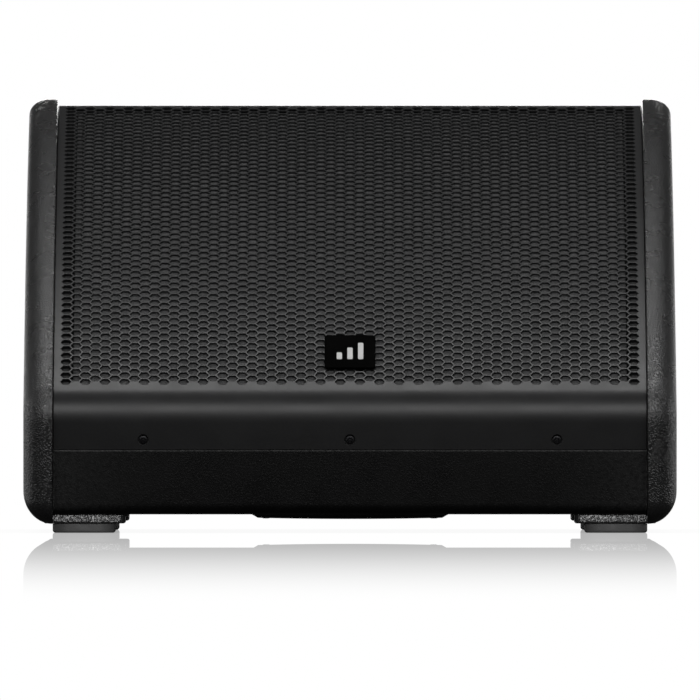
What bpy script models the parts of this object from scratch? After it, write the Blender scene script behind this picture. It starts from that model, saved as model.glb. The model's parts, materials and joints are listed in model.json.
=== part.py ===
"""Powered stage monitor wedge: plywood cabinet between two moulded end cheeks, curved steel grille, coaxial
twelve-inch driver, amplifier module in the back, moulded hand-hold in the base.

Frame: origin at the bottom centre of the whole object, +X to the right of the grille, which faces -Y, +Z up.
Side shapes are drawn as (depth, height), depth running back from the face of the grille's lip and height up
from the floor. Sizes are written in millimetres and turned into metres by MM.
"""

import math

import bmesh
import bpy
from mathutils import Matrix, Vector

MM = 0.001
GAP = 0.3  # clearance left between pieces that touch

# Overall size and the cabinet's boards
OVERALL_WIDTH = 550
CABINET_WIDTH = 500
CHEEK_FRONT, CHEEK_BACK = -6, 520
DEPTH_CENTRE = (CHEEK_FRONT + CHEEK_BACK) / 2
CHEEK_BOTTOM = 7.6
CABINET_BOTTOM = 15.6
SIDE_BOARD = 15
BASE_BOARD = 15
FRONT_BOARD = 18
BACK_BOARD = 15
BAFFLE_BOARD = 18

# Skin of the grille: vertical lip, bend, long curve, tight corner, flange down the back
LIP_BOTTOM = 70
BEND_HEIGHT = 92.3
BEND_RADIUS = 36
SLOPE_FRONT = 37
SLOPE_BACK = 16.4
CURVE_RADIUS = 1507
CORNER_RADIUS = 8
FLANGE_BOTTOM = 335
SHEET = 1.5
SKIN_TO_BOARD = SHEET + GAP
FOAM = 5

CURVE_CENTRE = (
    BEND_RADIUS + (CURVE_RADIUS - BEND_RADIUS) * math.sin(math.radians(SLOPE_FRONT)),
    BEND_HEIGHT - (CURVE_RADIUS - BEND_RADIUS) * math.cos(math.radians(SLOPE_FRONT)),
)
CORNER_CENTRE = (
    CURVE_CENTRE[0] - (CURVE_RADIUS - CORNER_RADIUS) * math.sin(math.radians(SLOPE_BACK)),
    CURVE_CENTRE[1] + (CURVE_RADIUS - CORNER_RADIUS) * math.cos(math.radians(SLOPE_BACK)),
)
BACK_FACE = CORNER_CENTRE[0] + CORNER_RADIUS - SKIN_TO_BOARD
BACK_INSIDE = BACK_FACE - BACK_BOARD
FRONT_INSIDE = FRONT_BOARD - 0.5
BASE_TOP = CABINET_BOTTOM + BASE_BOARD
SIDE_INSIDE = CABINET_WIDTH / 2 - GAP - SIDE_BOARD

# Baffle: a flat board under the curve, and the driver on it
BAFFLE_SLOPE = math.radians(26.7)
BAFFLE_START = (19.7, 110.3)
DRIVER_ALONG = 295
DRIVER_HOLE = 142
PORT_ALONG, PORT_SIDE = 72, 165
PORT_RADIUS, PORT_WALL, PORT_LENGTH = 33, 3, 62
CONE_RADIUS, COIL_RADIUS = 121, 38
MAGNET_RADIUS = 75

# End cheeks: width and height of the outer rounding at the bottom and the top edge, wall and screw places
CHEEK_THICK = (OVERALL_WIDTH - CABINET_WIDTH) / 2
ROUNDING_LOW, ROUNDING_HIGH = (24.4, 28), (17.5, 14)
CHEEK_CORNER, CHEEK_TOP_CORNER = 20, 22
CHEEK_TOP = 369
CHEEK_WALL, CHEEK_RIM, CHEEK_BEVEL = 4, 12, 1.4
FIELD_MARGIN, FIELD_SINK = 7, 1.5
CHEEK_SCREWS = [(60, 60), (150, 140), (455, 60), (455, 290)]

# Badge, and the screws through the grille's lip
BADGE_DEPTH, BADGE_SIZE = 56, (43, 48)
LIP_SCREW_HEIGHT, LIP_SCREW_SPACING = 78.2, 174

# Feet and hand-hold
FOOT_SIZE, FOOT_OUT = 53, 224
FOOT_DEPTHS = {"front": 57, "rear": 465}
PAD_REACH, PAD_LENGTH = 61, 70
HANDLE_DEPTH, HANDLE_WIDTH, HANDLE_LENGTH = 215, 168, 118
FLANGE_RAMP, FLANGE_EDGE, FLANGE_CROWN = 6, 11.9, 1
CUP_WIDTH, CUP_LENGTH, CUP_WALL, CUP_TOP = 128, 80, 3, 58
GRIP_LENGTH, GRIP_HEIGHTS = 28, (12.6, 29)

# Amplifier plate on the back: centre height, and where each control sits as (x, height)
PLATE_WIDTH, PLATE_HEIGHT, PLATE_CENTRE, PLATE_THICK = 250, 200, 195, 2
PLATE_INSIDE = BACK_FACE + GAP
PLATE_FACE = PLATE_INSIDE + PLATE_THICK
FRONT_OF_PLATE = PLATE_FACE + GAP
DISPLAY = (74, 262)
MENU_KNOB = (22, 262)
BUTTONS = [(106, 205), (106, 190), (106, 175)]
LEVEL_KNOBS = [(70, 205), (22, 205)]
INPUT_JACKS = [(78, 142), (32, 142)]
LINK_SOCKET = (-14, 142)
POWER_INLET = (-92, 148)
POWER_SWITCH = (-92, 232)
SOCKET_FLANGE, SOCKET_BARREL, SOCKET_MOUTH = 5, 11.7, 9.2
BEZEL = 3  # how far the inlet's and the switch's frames stand off the plate
SHAFT_END = -10.6
BOARD_POSTS = [(-108, 112), (106, 112), (-108, 276), (0, 276)]
CAPACITORS = [(-10, 225), (20, 225), (50, 225)]
TRANSFORMER = (-72, 205)
HEAT_SINK = (-66, -34)
ROCKER_TILT = math.radians(8)
ROCKER_PIVOT = FRONT_OF_PLATE + 1.5


# ---------------------------------------------------------------- finishes


def finish(name, colour, roughness, metallic=0.0):
    """A plain Principled finish."""
    made = bpy.data.materials.new(name)
    made.use_nodes = True
    shader = made.node_tree.nodes["Principled BSDF"]
    shader.inputs["Base Color"].default_value = (*colour, 1)
    shader.inputs["Roughness"].default_value = roughness
    shader.inputs["Metallic"].default_value = metallic
    return made


def make_finishes():
    return {
        "textured_paint": finish("textured_paint", (0.012, 0.012, 0.012), 0.7),
        "moulded_plastic": finish("moulded_plastic", (0.03, 0.03, 0.031), 0.55),
        "grille_steel": finish("grille_steel", (0.035, 0.035, 0.036), 0.4, 0.3),
        "foam": finish("foam", (0.015, 0.015, 0.015), 0.95),
        "rubber": finish("rubber", (0.025, 0.025, 0.025), 0.65),
        "badge_plastic": finish("badge_plastic", (0.005, 0.005, 0.005), 0.25),
        "screw_steel": finish("screw_steel", (0.03, 0.03, 0.03), 0.4, 0.8),
        "cast_aluminium": finish("cast_aluminium", (0.05, 0.05, 0.05), 0.5, 0.5),
        "paper_cone": finish("paper_cone", (0.02, 0.02, 0.02), 0.85),
        "plated_steel": finish("plated_steel", (0.55, 0.54, 0.5), 0.35, 1.0),
        "ferrite": finish("ferrite", (0.04, 0.04, 0.045), 0.6),
        "copper": finish("copper", (0.7, 0.35, 0.2), 0.35, 1.0),
        "plate_aluminium": finish("plate_aluminium", (0.02, 0.02, 0.021), 0.45, 0.4),
        "bare_aluminium": finish("bare_aluminium", (0.6, 0.6, 0.62), 0.4, 1.0),
        "circuit_board": finish("circuit_board", (0.01, 0.09, 0.04), 0.5),
        "gloss_plastic": finish("gloss_plastic", (0.012, 0.012, 0.012), 0.3),
        "display_glass": finish("display_glass", (0.01, 0.015, 0.02), 0.08),
        "wadding": finish("wadding", (0.6, 0.6, 0.57), 0.95),
        "cable_jacket": finish("cable_jacket", (0.02, 0.02, 0.02), 0.5),
    }


# ---------------------------------------------------------------- building shapes


def place(x, depth, height):
    """A point of the row frame, in metres, from x, depth and height in millimetres."""
    return Vector((x, depth - DEPTH_CENTRE, height)) * MM


def keep(name, mesh_maker, material, smooth=30):
    """Turns a bmesh into a named object with its finish, facing out and shaded smooth."""
    bmesh.ops.recalc_face_normals(mesh_maker, faces=mesh_maker.faces)
    mesh = bpy.data.meshes.new(name)
    mesh_maker.to_mesh(mesh)
    mesh_maker.free()
    mesh.shade_smooth()
    mesh.set_sharp_from_angle(angle=math.radians(smooth))
    made = bpy.data.objects.new(name, mesh)
    bpy.context.scene.collection.objects.link(made)
    if material:
        mesh.materials.append(material)
    return made


def loft(maker, loops):
    """Bridges equal loops of points with quads, and closes the two ends with one face each."""
    rows = [[maker.verts.new(point) for point in loop] for loop in loops]
    for first, second in zip(rows, rows[1:]):
        for a, b, c, d in zip(first, first[1:] + first[:1], second[1:] + second[:1], second):
            maker.faces.new((a, b, c, d))
    maker.faces.new(rows[0])
    maker.faces.new(rows[-1])


def side_prism(name, outline, low_x, high_x, material):
    """A side outline of (depth, height) points, extruded across from low_x to high_x."""
    maker = bmesh.new()
    loft(maker, [[place(x, u, z) for u, z in outline] for x in (low_x, high_x)])
    return keep(name, maker, material)


def box(name, x, depth, height, material=None, bevel=0, segments=2):
    """A block between (low, high) pairs of x, depth and height, with its edges rounded if bevel is set."""
    maker = bmesh.new()
    corners = ((x[0], height[0]), (x[1], height[0]), (x[1], height[1]), (x[0], height[1]))
    loft(maker, [[place(across, back, up) for across, up in corners] for back in depth])
    if bevel:
        edges = maker.edges[:]
        bmesh.ops.bevel(maker, geom=edges, offset=bevel * MM, segments=segments, affect="EDGES", profile=0.5)
    return keep(name, maker, material)


def rounded_block(name, centre, size, radius, heights, material, steps=4):
    """A block standing on (x, depth), with rounded upright corners and each (height, inset) as one level."""
    maker = bmesh.new()
    loops = []
    for height, inset in heights:
        corner = max(radius - inset, 0.5)
        half = [s / 2 - inset - corner for s in size]
        loop = []
        for quarter, (sx, sy) in enumerate(((1, 1), (-1, 1), (-1, -1), (1, -1))):
            middle = (centre[0] + sx * half[0], centre[1] + sy * half[1])
            turns = spread(90 * quarter, 90 * quarter + 90, steps)
            loop += [place(x, depth, height) for x, depth in around(middle, corner, turns)]
        loops.append(loop)
    loft(maker, loops)
    return keep(name, maker, material)


def turned(name, profile, material, frame, segments=28):
    """A closed (radius, height) profile turned about the frame's Z axis. A radius of 0 lies on the axis."""
    maker = bmesh.new()
    turns = spread(0, 360, segments)[:-1]
    rings = []
    for radius, height in profile:
        if radius:
            points = [Vector((x, y, height)) * MM for x, y in around((0, 0), radius, turns)]
            rings.append([maker.verts.new(point) for point in points])
        else:
            rings.append([maker.verts.new(Vector((0, 0, height)) * MM)] * segments)
    for first, second in zip(rings, rings[1:] + rings[:1]):
        for a, b, c, d in zip(first, first[1:] + first[:1], second[1:] + second[:1], second):
            corners = dict.fromkeys((a, b, c, d))
            if len(corners) > 2:
                maker.faces.new(corners)
    made = keep(name, maker, material)
    made.matrix_world = frame
    return made


def move_origin(made, point):
    """Puts the object's origin at a point, on the axis that it moves about or along."""
    made.data.transform(Matrix.Translation(-point))
    made.location = point


def boolean(target, tool, operation):
    """Cuts the tool from the target, or joins it on. The tool is hidden and left out of the model."""
    tool.hide_render = True
    tool.display_type = "WIRE"
    change = target.modifiers.new(tool.name, "BOOLEAN")
    change.operation = operation
    change.solver = "EXACT"
    change.object = tool


def cut(target, *tools):
    for tool in tools:
        boolean(target, tool, "DIFFERENCE")


def join(target, *tools):
    for tool in tools:
        boolean(target, tool, "UNION")


def panel_box(name, centre, size, depths, material=None, bevel=0, segments=2):
    """A block centred on (x, height) of the cabinet's back, with its (width, height) and its depths."""
    across, up = [(middle - s / 2, middle + s / 2) for middle, s in zip(centre, size)]
    return box(name, across, depths, up, material, bevel, segments)


def facing_back(x, height, depth):
    """A frame whose Z axis points backwards, out of the amplifier plate."""
    return Matrix.Translation(place(x, depth, height)) @ Matrix.Rotation(-math.pi / 2, 4, "X")


def on_baffle(along, x=0):
    """A frame on the baffle's outer face, Z pointing out of it, X to the right of the cabinet."""
    depth = BAFFLE_START[0] + along * math.cos(BAFFLE_SLOPE)
    height = BAFFLE_START[1] + along * math.sin(BAFFLE_SLOPE)
    return Matrix.Translation(place(x, depth, height)) @ Matrix.Rotation(BAFFLE_SLOPE, 4, "X")


def spread(start, end, count):
    """count + 1 numbers from start to end."""
    return [start + (end - start) * i / count for i in range(count + 1)]


def around(centre, radius, degrees):
    """Points at the given directions round a centre, as (depth, height)."""
    return [
        (centre[0] + radius * math.cos(math.radians(a)), centre[1] + radius * math.sin(math.radians(a)))
        for a in degrees
    ]


# ---------------------------------------------------------------- side shapes


def curve_at(inset, steps=12, slopes=(SLOPE_FRONT, SLOPE_BACK)):
    """The long curve of the grille, moved in from its outer skin."""
    return around(CURVE_CENTRE, CURVE_RADIUS - inset, [90 + s for s in spread(*slopes, steps)])


def slope_at_depth(depth, inset):
    """The slope in degrees where the inset curve passes a depth."""
    return math.degrees(math.asin((CURVE_CENTRE[0] - depth) / (CURVE_RADIUS - inset)))


def skin_at(inset):
    """The whole grille section at an inset: lip, bend, curve, corner and back flange."""
    bend_centre = (BEND_RADIUS, BEND_HEIGHT)
    return (
        [(inset, LIP_BOTTOM)]
        + around(bend_centre, BEND_RADIUS - inset, spread(180, 90 + SLOPE_FRONT, 7))
        + curve_at(inset)[1:]
        + around(CORNER_CENTRE, CORNER_RADIUS - inset, spread(90 + SLOPE_BACK, 0, 4)[1:])
        + [(CORNER_CENTRE[0] + CORNER_RADIUS - inset, FLANGE_BOTTOM)]
    )


def cheek_point(part, share, inset):
    """One point of the end cheek's outline, moved in from its silhouette, as (depth, height)."""
    proud = -CHEEK_FRONT
    corner = max(CHEEK_CORNER - inset, 3)
    if part == "front_bottom":
        centre = (CHEEK_FRONT + inset + corner, CHEEK_BOTTOM + inset + corner)
        return around(centre, corner, [270 - 90 * share])[0]
    if part == "back_bottom":
        centre = (CHEEK_BACK - inset - corner, CHEEK_BOTTOM + inset + corner)
        return around(centre, corner, [-90 * share])[0]
    if part == "bend":
        angle = 180 - (90 - SLOPE_FRONT) * share
        return around((BEND_RADIUS, BEND_HEIGHT), BEND_RADIUS + proud - inset, [angle])[0]
    corner = max(CHEEK_TOP_CORNER - inset, 3)
    reach = CURVE_RADIUS + proud - inset
    centre_depth = CHEEK_BACK - inset - corner
    lean = math.asin((CURVE_CENTRE[0] - centre_depth) / (reach - corner))
    if part == "curve":
        angle = 90 + SLOPE_FRONT + (math.degrees(lean) - SLOPE_FRONT) * share
        return around(CURVE_CENTRE, reach, [angle])[0]
    centre = (centre_depth, CURVE_CENTRE[1] + (reach - corner) * math.cos(lean))
    return around(centre, corner, [(90 + math.degrees(lean)) * (1 - share)])[0]


CHEEK_OUTLINE = (
    [("front_bottom", s) for s in spread(0, 1, 5)]
    + [("bend", s) for s in spread(0, 1, 5)]
    + [("curve", s) for s in spread(0, 1, 7)[1:]]
    + [("top_back", s) for s in spread(0, 1, 5)[1:]]
    + [("back_bottom", s) for s in spread(0, 1, 5)]
)


def cheek_rounding(part, along):
    """(width, height) of the cheek's outer rounding there: small at the top edge, large at the bottom."""
    height = cheek_point(part, along, 0)[1]
    share = (height - CHEEK_BOTTOM) / (CHEEK_TOP - CHEEK_BOTTOM)
    return [low + (high - low) * share for low, high in zip(ROUNDING_LOW, ROUNDING_HIGH)]


# ---------------------------------------------------------------- cabinet


def make_cabinet(finishes):
    paint = finishes["textured_paint"]
    half = CABINET_WIDTH / 2 - GAP
    inside = SIDE_INSIDE - GAP
    front = [
        (-0.5, CABINET_BOTTOM),
        (-0.5, LIP_BOTTOM - GAP),
        (SKIN_TO_BOARD, LIP_BOTTOM - GAP),
        (SKIN_TO_BOARD, BEND_HEIGHT - 1),
        (5.5, BEND_HEIGHT + 13),
        (FRONT_INSIDE, BEND_HEIGHT + 13),
        (FRONT_INSIDE, CABINET_BOTTOM),
    ]
    side_prism("front_panel", front, -half, half, paint)
    depths = (FRONT_INSIDE + GAP, BACK_FACE)
    base = box("base_panel", (-half, half), depths, (CABINET_BOTTOM, BASE_TOP), paint)
    hole_x = CUP_WIDTH / 2 + 1
    hole_depth = (HANDLE_DEPTH - CUP_LENGTH / 2 - 1, HANDLE_DEPTH + CUP_LENGTH / 2 + 1)
    cut(base, box("handle_hole", (-hole_x, hole_x), hole_depth, (0, BASE_TOP + 10)))

    top_limit = CORNER_CENTRE[1] + 1
    back_outline = [
        (BACK_INSIDE, BASE_TOP + GAP),
        (BACK_FACE, BASE_TOP + GAP),
        (BACK_FACE, top_limit - 3),
        (BACK_FACE - 4, top_limit),
        (BACK_INSIDE, top_limit),
    ]
    back = side_prism("rear_panel", back_outline, -half, half, paint)
    ledge = 12
    size = (PLATE_WIDTH - 2 * ledge, PLATE_HEIGHT - 2 * ledge)
    cut(back, panel_box("plate_opening", (0, PLATE_CENTRE), size, (BACK_INSIDE - 10, BACK_FACE + 10)))

    low, high = FRONT_INSIDE + GAP, BACK_INSIDE - GAP
    slopes = (slope_at_depth(low, SKIN_TO_BOARD), slope_at_depth(high, SKIN_TO_BOARD))
    side = [(low, BASE_TOP + GAP)] + curve_at(SKIN_TO_BOARD, 12, slopes) + [(high, BASE_TOP + GAP)]
    side_prism("left_side_panel", side, -half, -SIDE_INSIDE, paint)
    side_prism("right_side_panel", side, SIDE_INSIDE, half, paint)

    rise = math.tan(BAFFLE_SLOPE)
    thick = BAFFLE_BOARD / math.cos(BAFFLE_SLOPE)
    faces = [(u, BAFFLE_START[1] + (u - BAFFLE_START[0]) * rise) for u in (low, high)]
    outline = faces + [(u, z - thick) for u, z in reversed(faces)]
    baffle = side_prism("baffle_board", outline, -inside, inside, paint)
    holes = [
        ("driver_hole", DRIVER_ALONG, 0, DRIVER_HOLE),
        ("left_port_hole", PORT_ALONG, -PORT_SIDE, PORT_RADIUS + PORT_WALL + 1),
        ("right_port_hole", PORT_ALONG, PORT_SIDE, PORT_RADIUS + PORT_WALL + 1),
    ]
    for name, along, x, radius in holes:
        disc = [(0, -40), (radius, -40), (radius, 40), (0, 40)]
        cut(baffle, turned(name, disc, None, on_baffle(along, x), 32))


def make_ports(finishes):
    """Two short reflex tubes with a rounded flange on the baffle's face."""
    outer = PORT_RADIUS + PORT_WALL
    profile = [
        (PORT_RADIUS, -PORT_LENGTH),
        (outer, -PORT_LENGTH),
        (outer, GAP),
        (outer + 8, GAP),
        (outer + 7, 3.2),
        (PORT_RADIUS + 3.5, 3.6),
        (PORT_RADIUS + 0.8, 1.5),
        (PORT_RADIUS, -3),
    ]
    for name, x in (("left_port_tube", -PORT_SIDE), ("right_port_tube", PORT_SIDE)):
        turned(name, profile, finishes["gloss_plastic"], on_baffle(PORT_ALONG, x), 24)


# ---------------------------------------------------------------- end cheeks and feet


def flat_loop(side, across, inset):
    """A loop of the cheek's outline in one upright plane."""
    x = side * (CABINET_WIDTH / 2 + across)
    return [place(x, *cheek_point(part, along, inset)) for part, along in CHEEK_OUTLINE]


def rounded_loop(side, share, inset=0, wall=0, sink=0):
    """A loop on the cheek's elliptical rounding, from share 0 at the rim to 1 at the outer face."""
    angle = share * math.pi / 2
    loop = []
    for part, along in CHEEK_OUTLINE:
        wide, tall = cheek_rounding(part, along)
        across = CHEEK_THICK - wide + (wide - wall) * math.sin(angle) - sink
        depth, height = cheek_point(part, along, inset + tall * (1 - math.cos(angle)))
        loop.append(place(side * (CABINET_WIDTH / 2 + across), depth, height))
    return loop


def make_cheek(name, side, material):
    """A hollow moulded end cheek: rounded rim, sunk outer field, screw bosses, and two foot pads."""
    shares = spread(0, 1, 4)
    outer = bmesh.new()
    loops = [flat_loop(side, 0, CHEEK_BEVEL)] + [rounded_loop(side, share) for share in shares]
    field = [rounded_loop(side, 1, FIELD_MARGIN), rounded_loop(side, 1, FIELD_MARGIN + 2, sink=FIELD_SINK)]
    loft(outer, loops + field)
    cheek = keep(name, outer, material, 40)

    hollow = bmesh.new()
    wall = CHEEK_WALL + FIELD_SINK
    inner = [rounded_loop(side, share, CHEEK_RIM, wall) for share in shares[::2]]
    loft(hollow, [flat_loop(side, -5, CHEEK_RIM)] + inner)
    cut(cheek, keep(name + "_hollow", hollow, None))
    make_cheek_bosses(cheek, side)
    make_foot_pads(cheek, side)


def make_cheek_bosses(cheek, side):
    """Columns from the cabinet to the outer wall, each with a counterbored screw hole."""
    turn = Matrix.Rotation(side * math.pi / 2, 4, "Y")
    boss_top = CHEEK_THICK - 3
    boss = [(0, 0), (8.5, 0), (8.5, boss_top), (0, boss_top)]
    hole = [(0, -5), (2.6, -5), (2.6, 8), (6, 8), (6, 40), (0, 40)]
    frames = [Matrix.Translation(place(side * CABINET_WIDTH / 2, *where)) @ turn for where in CHEEK_SCREWS]
    join(cheek, *(turned(f"{cheek.name}_boss", boss, None, frame, 12) for frame in frames))
    cut(cheek, *(turned(f"{cheek.name}_screw_hole", hole, None, frame, 12) for frame in frames))


def make_foot_pads(cheek, side):
    """Flat pads that reach under the cabinet and carry the rubber feet."""
    pad_in, pad_out = CABINET_WIDTH / 2 - PAD_REACH, CABINET_WIDTH / 2 + 8
    levels = [(CHEEK_BOTTOM + GAP, 2), (CHEEK_BOTTOM + 2.3, 0), (CABINET_BOTTOM - GAP, 0)]
    size = (pad_out - pad_in, PAD_LENGTH)
    for where, depth in FOOT_DEPTHS.items():
        centre = (side * (pad_in + pad_out) / 2, depth)
        join(cheek, rounded_block(f"{cheek.name}_{where}_pad", centre, size, 6, levels, None, 3))


def make_feet(finishes):
    """Rubber feet with a bevelled tread and a screw recess, flat on the floor."""
    recess = [(0, -1), (7, -1), (7, 3.5), (3, 3.5), (3, 20), (0, 20)]
    levels = [(0, 2), (2, 0.2), (CHEEK_BOTTOM, 0)]
    for where, depth in FOOT_DEPTHS.items():
        for side_name, side in (("left", -1), ("right", 1)):
            centre = (side * FOOT_OUT, depth)
            name = f"{where}_{side_name}_foot"
            foot = rounded_block(name, centre, (FOOT_SIZE, FOOT_SIZE), 15, levels, finishes["rubber"])
            frame = Matrix.Translation(place(*centre, 0))
            cut(foot, turned(name + "_recess", recess, None, frame, 12))


# ---------------------------------------------------------------- grille


def make_grille(finishes):
    """The curved sheet with its lip and back flange, and a layer of foam under its long curve."""
    half = CABINET_WIDTH / 2 - 0.5
    sheet = skin_at(0) + skin_at(SHEET)[::-1]
    grille = side_prism("grille", sheet, -half, half, finishes["grille_steel"])
    slopes = (SLOPE_FRONT, SLOPE_BACK + 0.6)
    foam = curve_at(SKIN_TO_BOARD, 12, slopes) + curve_at(SKIN_TO_BOARD + FOAM, 12, slopes)[::-1]
    half_foam = SIDE_INSIDE - GAP
    side_prism("grille_foam", foam, -half_foam, half_foam, finishes["foam"])
    make_lip_screws(finishes, grille)


def make_lip_screws(finishes, grille):
    """Countersunk screws through the lip into the front panel, as (radius, height out of the lip's face)."""
    screw = [(0, -14), (2.2, -14), (2.2, -2.6), (4.5, -0.3), (0, -0.3)]
    countersink = [(0, -4), (3.6, -4), (3.6, -1.6), (5.4, 0.2), (5.4, 3), (0, 3)]
    pilot = [(0, -16), (2.6, -16), (2.6, -2.6), (3.6, -1.6), (3.6, 1), (0, 1)]
    for name, x in (("left", -LIP_SCREW_SPACING), ("middle", 0), ("right", LIP_SCREW_SPACING)):
        frame = Matrix.Translation(place(x, 0, LIP_SCREW_HEIGHT)) @ Matrix.Rotation(math.pi / 2, 4, "X")
        turned(f"grille_screw_{name}", screw, finishes["screw_steel"], frame, 12)
        cut(grille, turned(f"grille_hole_{name}", countersink, None, frame, 12))
        cut(bpy.data.objects["front_panel"], turned(f"panel_hole_{name}", pilot, None, frame, 12))


def make_badge(finishes):
    """A plain block lying on the grille's curve."""
    slope = math.radians(slope_at_depth(BADGE_DEPTH, 0))
    height = CURVE_CENTRE[1] + math.sqrt(CURVE_RADIUS**2 - (CURVE_CENTRE[0] - BADGE_DEPTH) ** 2)
    levels = [(GAP, 0), (2.4, 0), (3, 0.6)]
    badge = rounded_block("badge", (0, DEPTH_CENTRE), BADGE_SIZE, 3, levels, finishes["badge_plastic"], 2)
    badge.matrix_world = Matrix.Translation(place(0, BADGE_DEPTH, height)) @ Matrix.Rotation(slope, 4, "X")


# ---------------------------------------------------------------- hand-hold in the base


def make_handle(finishes):
    """A moulded cup let into the base with a shallow crowned flange, and a grip bar across it."""
    half = HANDLE_WIDTH / 2
    low = half - FLANGE_RAMP
    arch = [(x, FLANGE_EDGE - FLANGE_CROWN * (1 - (x / low) ** 2)) for x in spread(-low, low, 8)]
    section = [(half, CABINET_BOTTOM - GAP), (-half, CABINET_BOTTOM - GAP)] + arch
    depths = (HANDLE_DEPTH - HANDLE_LENGTH / 2, HANDLE_DEPTH + HANDLE_LENGTH / 2)
    maker = bmesh.new()
    loft(maker, [[place(x, depth, z) for x, z in section] for depth in depths])
    cup = keep("handle_cup", maker, finishes["moulded_plastic"])

    wide, long = CUP_WIDTH / 2, CUP_LENGTH / 2
    span = (HANDLE_DEPTH - long, HANDLE_DEPTH + long)
    join(cup, box("cup_body", (-wide, wide), span, (13, CUP_TOP)))
    wide, long = wide - CUP_WALL, long - CUP_WALL
    span = (HANDLE_DEPTH - long, HANDLE_DEPTH + long)
    cut(cup, box("cup_hollow", (-wide, wide), span, (0, CUP_TOP - CUP_WALL)))
    span = (HANDLE_DEPTH - GRIP_LENGTH / 2, HANDLE_DEPTH + GRIP_LENGTH / 2)
    box("handle_grip", (GAP - wide, wide - GAP), span, GRIP_HEIGHTS, finishes["rubber"], 4, 2)


# ---------------------------------------------------------------- coaxial driver
# Profiles are (radius, height above the baffle's face) about the driver's axis.


def make_driver(finishes):
    frame = on_baffle(DRIVER_ALONG)
    make_basket(finishes, frame)
    make_cone(finishes, frame)
    make_motor(finishes, frame)
    make_horn_driver(finishes, frame)


def make_basket(finishes, frame):
    """Cast basket with its sealing gasket; its cone-shaped wall has six windows between the ribs."""
    turned("driver_gasket", [(143, GAP), (154, GAP), (154, 2.3), (143, 2.3)], finishes["rubber"], frame)
    flange = [(136, 7.6), (155, 7.6), (155, 2.6), (139.5, 2.6)]
    outside = [(138, -12), (84, -66), (76, -79.5)]
    seat = [(58, -79.5), (58, -76.5)]
    inside = [(72, -76.5), (81, -64.5), (135, -10.5)]
    basket = turned("driver_basket", flange + outside + seat + inside, finishes["cast_aluminium"], frame, 30)
    windows = 6
    for turn in spread(0, 2 * math.pi, windows)[:-1]:
        window = box("basket_window", (-34, 34), (DEPTH_CENTRE + 84, DEPTH_CENTRE + 150), (-62, -15))
        window.matrix_world = frame @ Matrix.Rotation(turn, 4, "Z")
        cut(basket, window)


def make_cone(finishes, frame):
    """Cone with its half-roll surround, corrugated spider and voice coil."""
    land, roll, middle = 8.4, 6.2, (128, 8.4)
    over = around(middle, roll, spread(180, 0, 4))
    under = around(middle, roll - 1, spread(0, 180, 4)[1:-1])
    outer_land = [(143, land), (143, land - 0.5), (133.2, land - 0.5)]
    inner_land = [(122.8, land - 1), (117, land - 1)]
    surround = [(117, land)] + over + outer_land + under + inner_land
    turned("cone_surround", surround, finishes["rubber"], frame, 30)

    top, bottom, paper = 7.0, -46, 1.8
    neck = COIL_RADIUS + 0.7
    shares = spread(0, 1, 5)
    front = [(neck + (CONE_RADIUS - neck) * s, bottom + (top - bottom) * s**0.8) for s in shares]
    back = [(r, z - paper) for r, z in reversed(front)]
    turned("woofer_cone", front + back, finishes["paper_cone"], frame, 30)

    waves = [(39 + 6.5 * i, -67.5 + 1.5 * (-1) ** i) for i in range(5)]
    upper = waves + [(68, -75.2), (71.5, -75.2)]
    turned("spider", upper + [(r, z - 1) for r, z in reversed(upper)], finishes["paper_cone"], frame, 24)

    former = [(COIL_RADIUS + 0.4, -77.5), (COIL_RADIUS + 0.4, -44), (COIL_RADIUS - 0.6, -44)]
    winding = [(COIL_RADIUS - 0.6, -94), (COIL_RADIUS + 1.2, -94), (COIL_RADIUS + 1.2, -78)]
    turned("voice_coil", winding + former, finishes["copper"], frame, 24)


def make_motor(finishes, frame):
    """Top plate, ring magnet, and the pole piece with its back plate, bored for the horn."""
    steel = finishes["plated_steel"]
    gap_out, gap_in = COIL_RADIUS + 2.2, COIL_RADIUS - 1.8
    plate = [(gap_out, -88), (MAGNET_RADIUS, -88), (MAGNET_RADIUS, -80), (gap_out, -80)]
    turned("top_plate", plate, steel, frame, 24)
    magnet = [(48, -110), (MAGNET_RADIUS + 4, -110), (MAGNET_RADIUS + 4, -88.3), (48, -88.3)]
    turned("ferrite_magnet", magnet, finishes["ferrite"], frame, 24)
    back_plate = [(12.7, -120), (MAGNET_RADIUS, -120), (MAGNET_RADIUS, -110.3)]
    pole = [(gap_in, -110.3), (gap_in, -79), (16.5, -79)]
    turned("pole_piece", back_plate + pole, steel, frame, 24)
    outside = [(17, -78.7), (24, -78.7), (24, -72), (21, -68), (35, -34), (35, -32)]
    turned("hf_horn", outside + [(33.5, -32), (19.5, -68)], finishes["gloss_plastic"], frame, 24)


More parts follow.
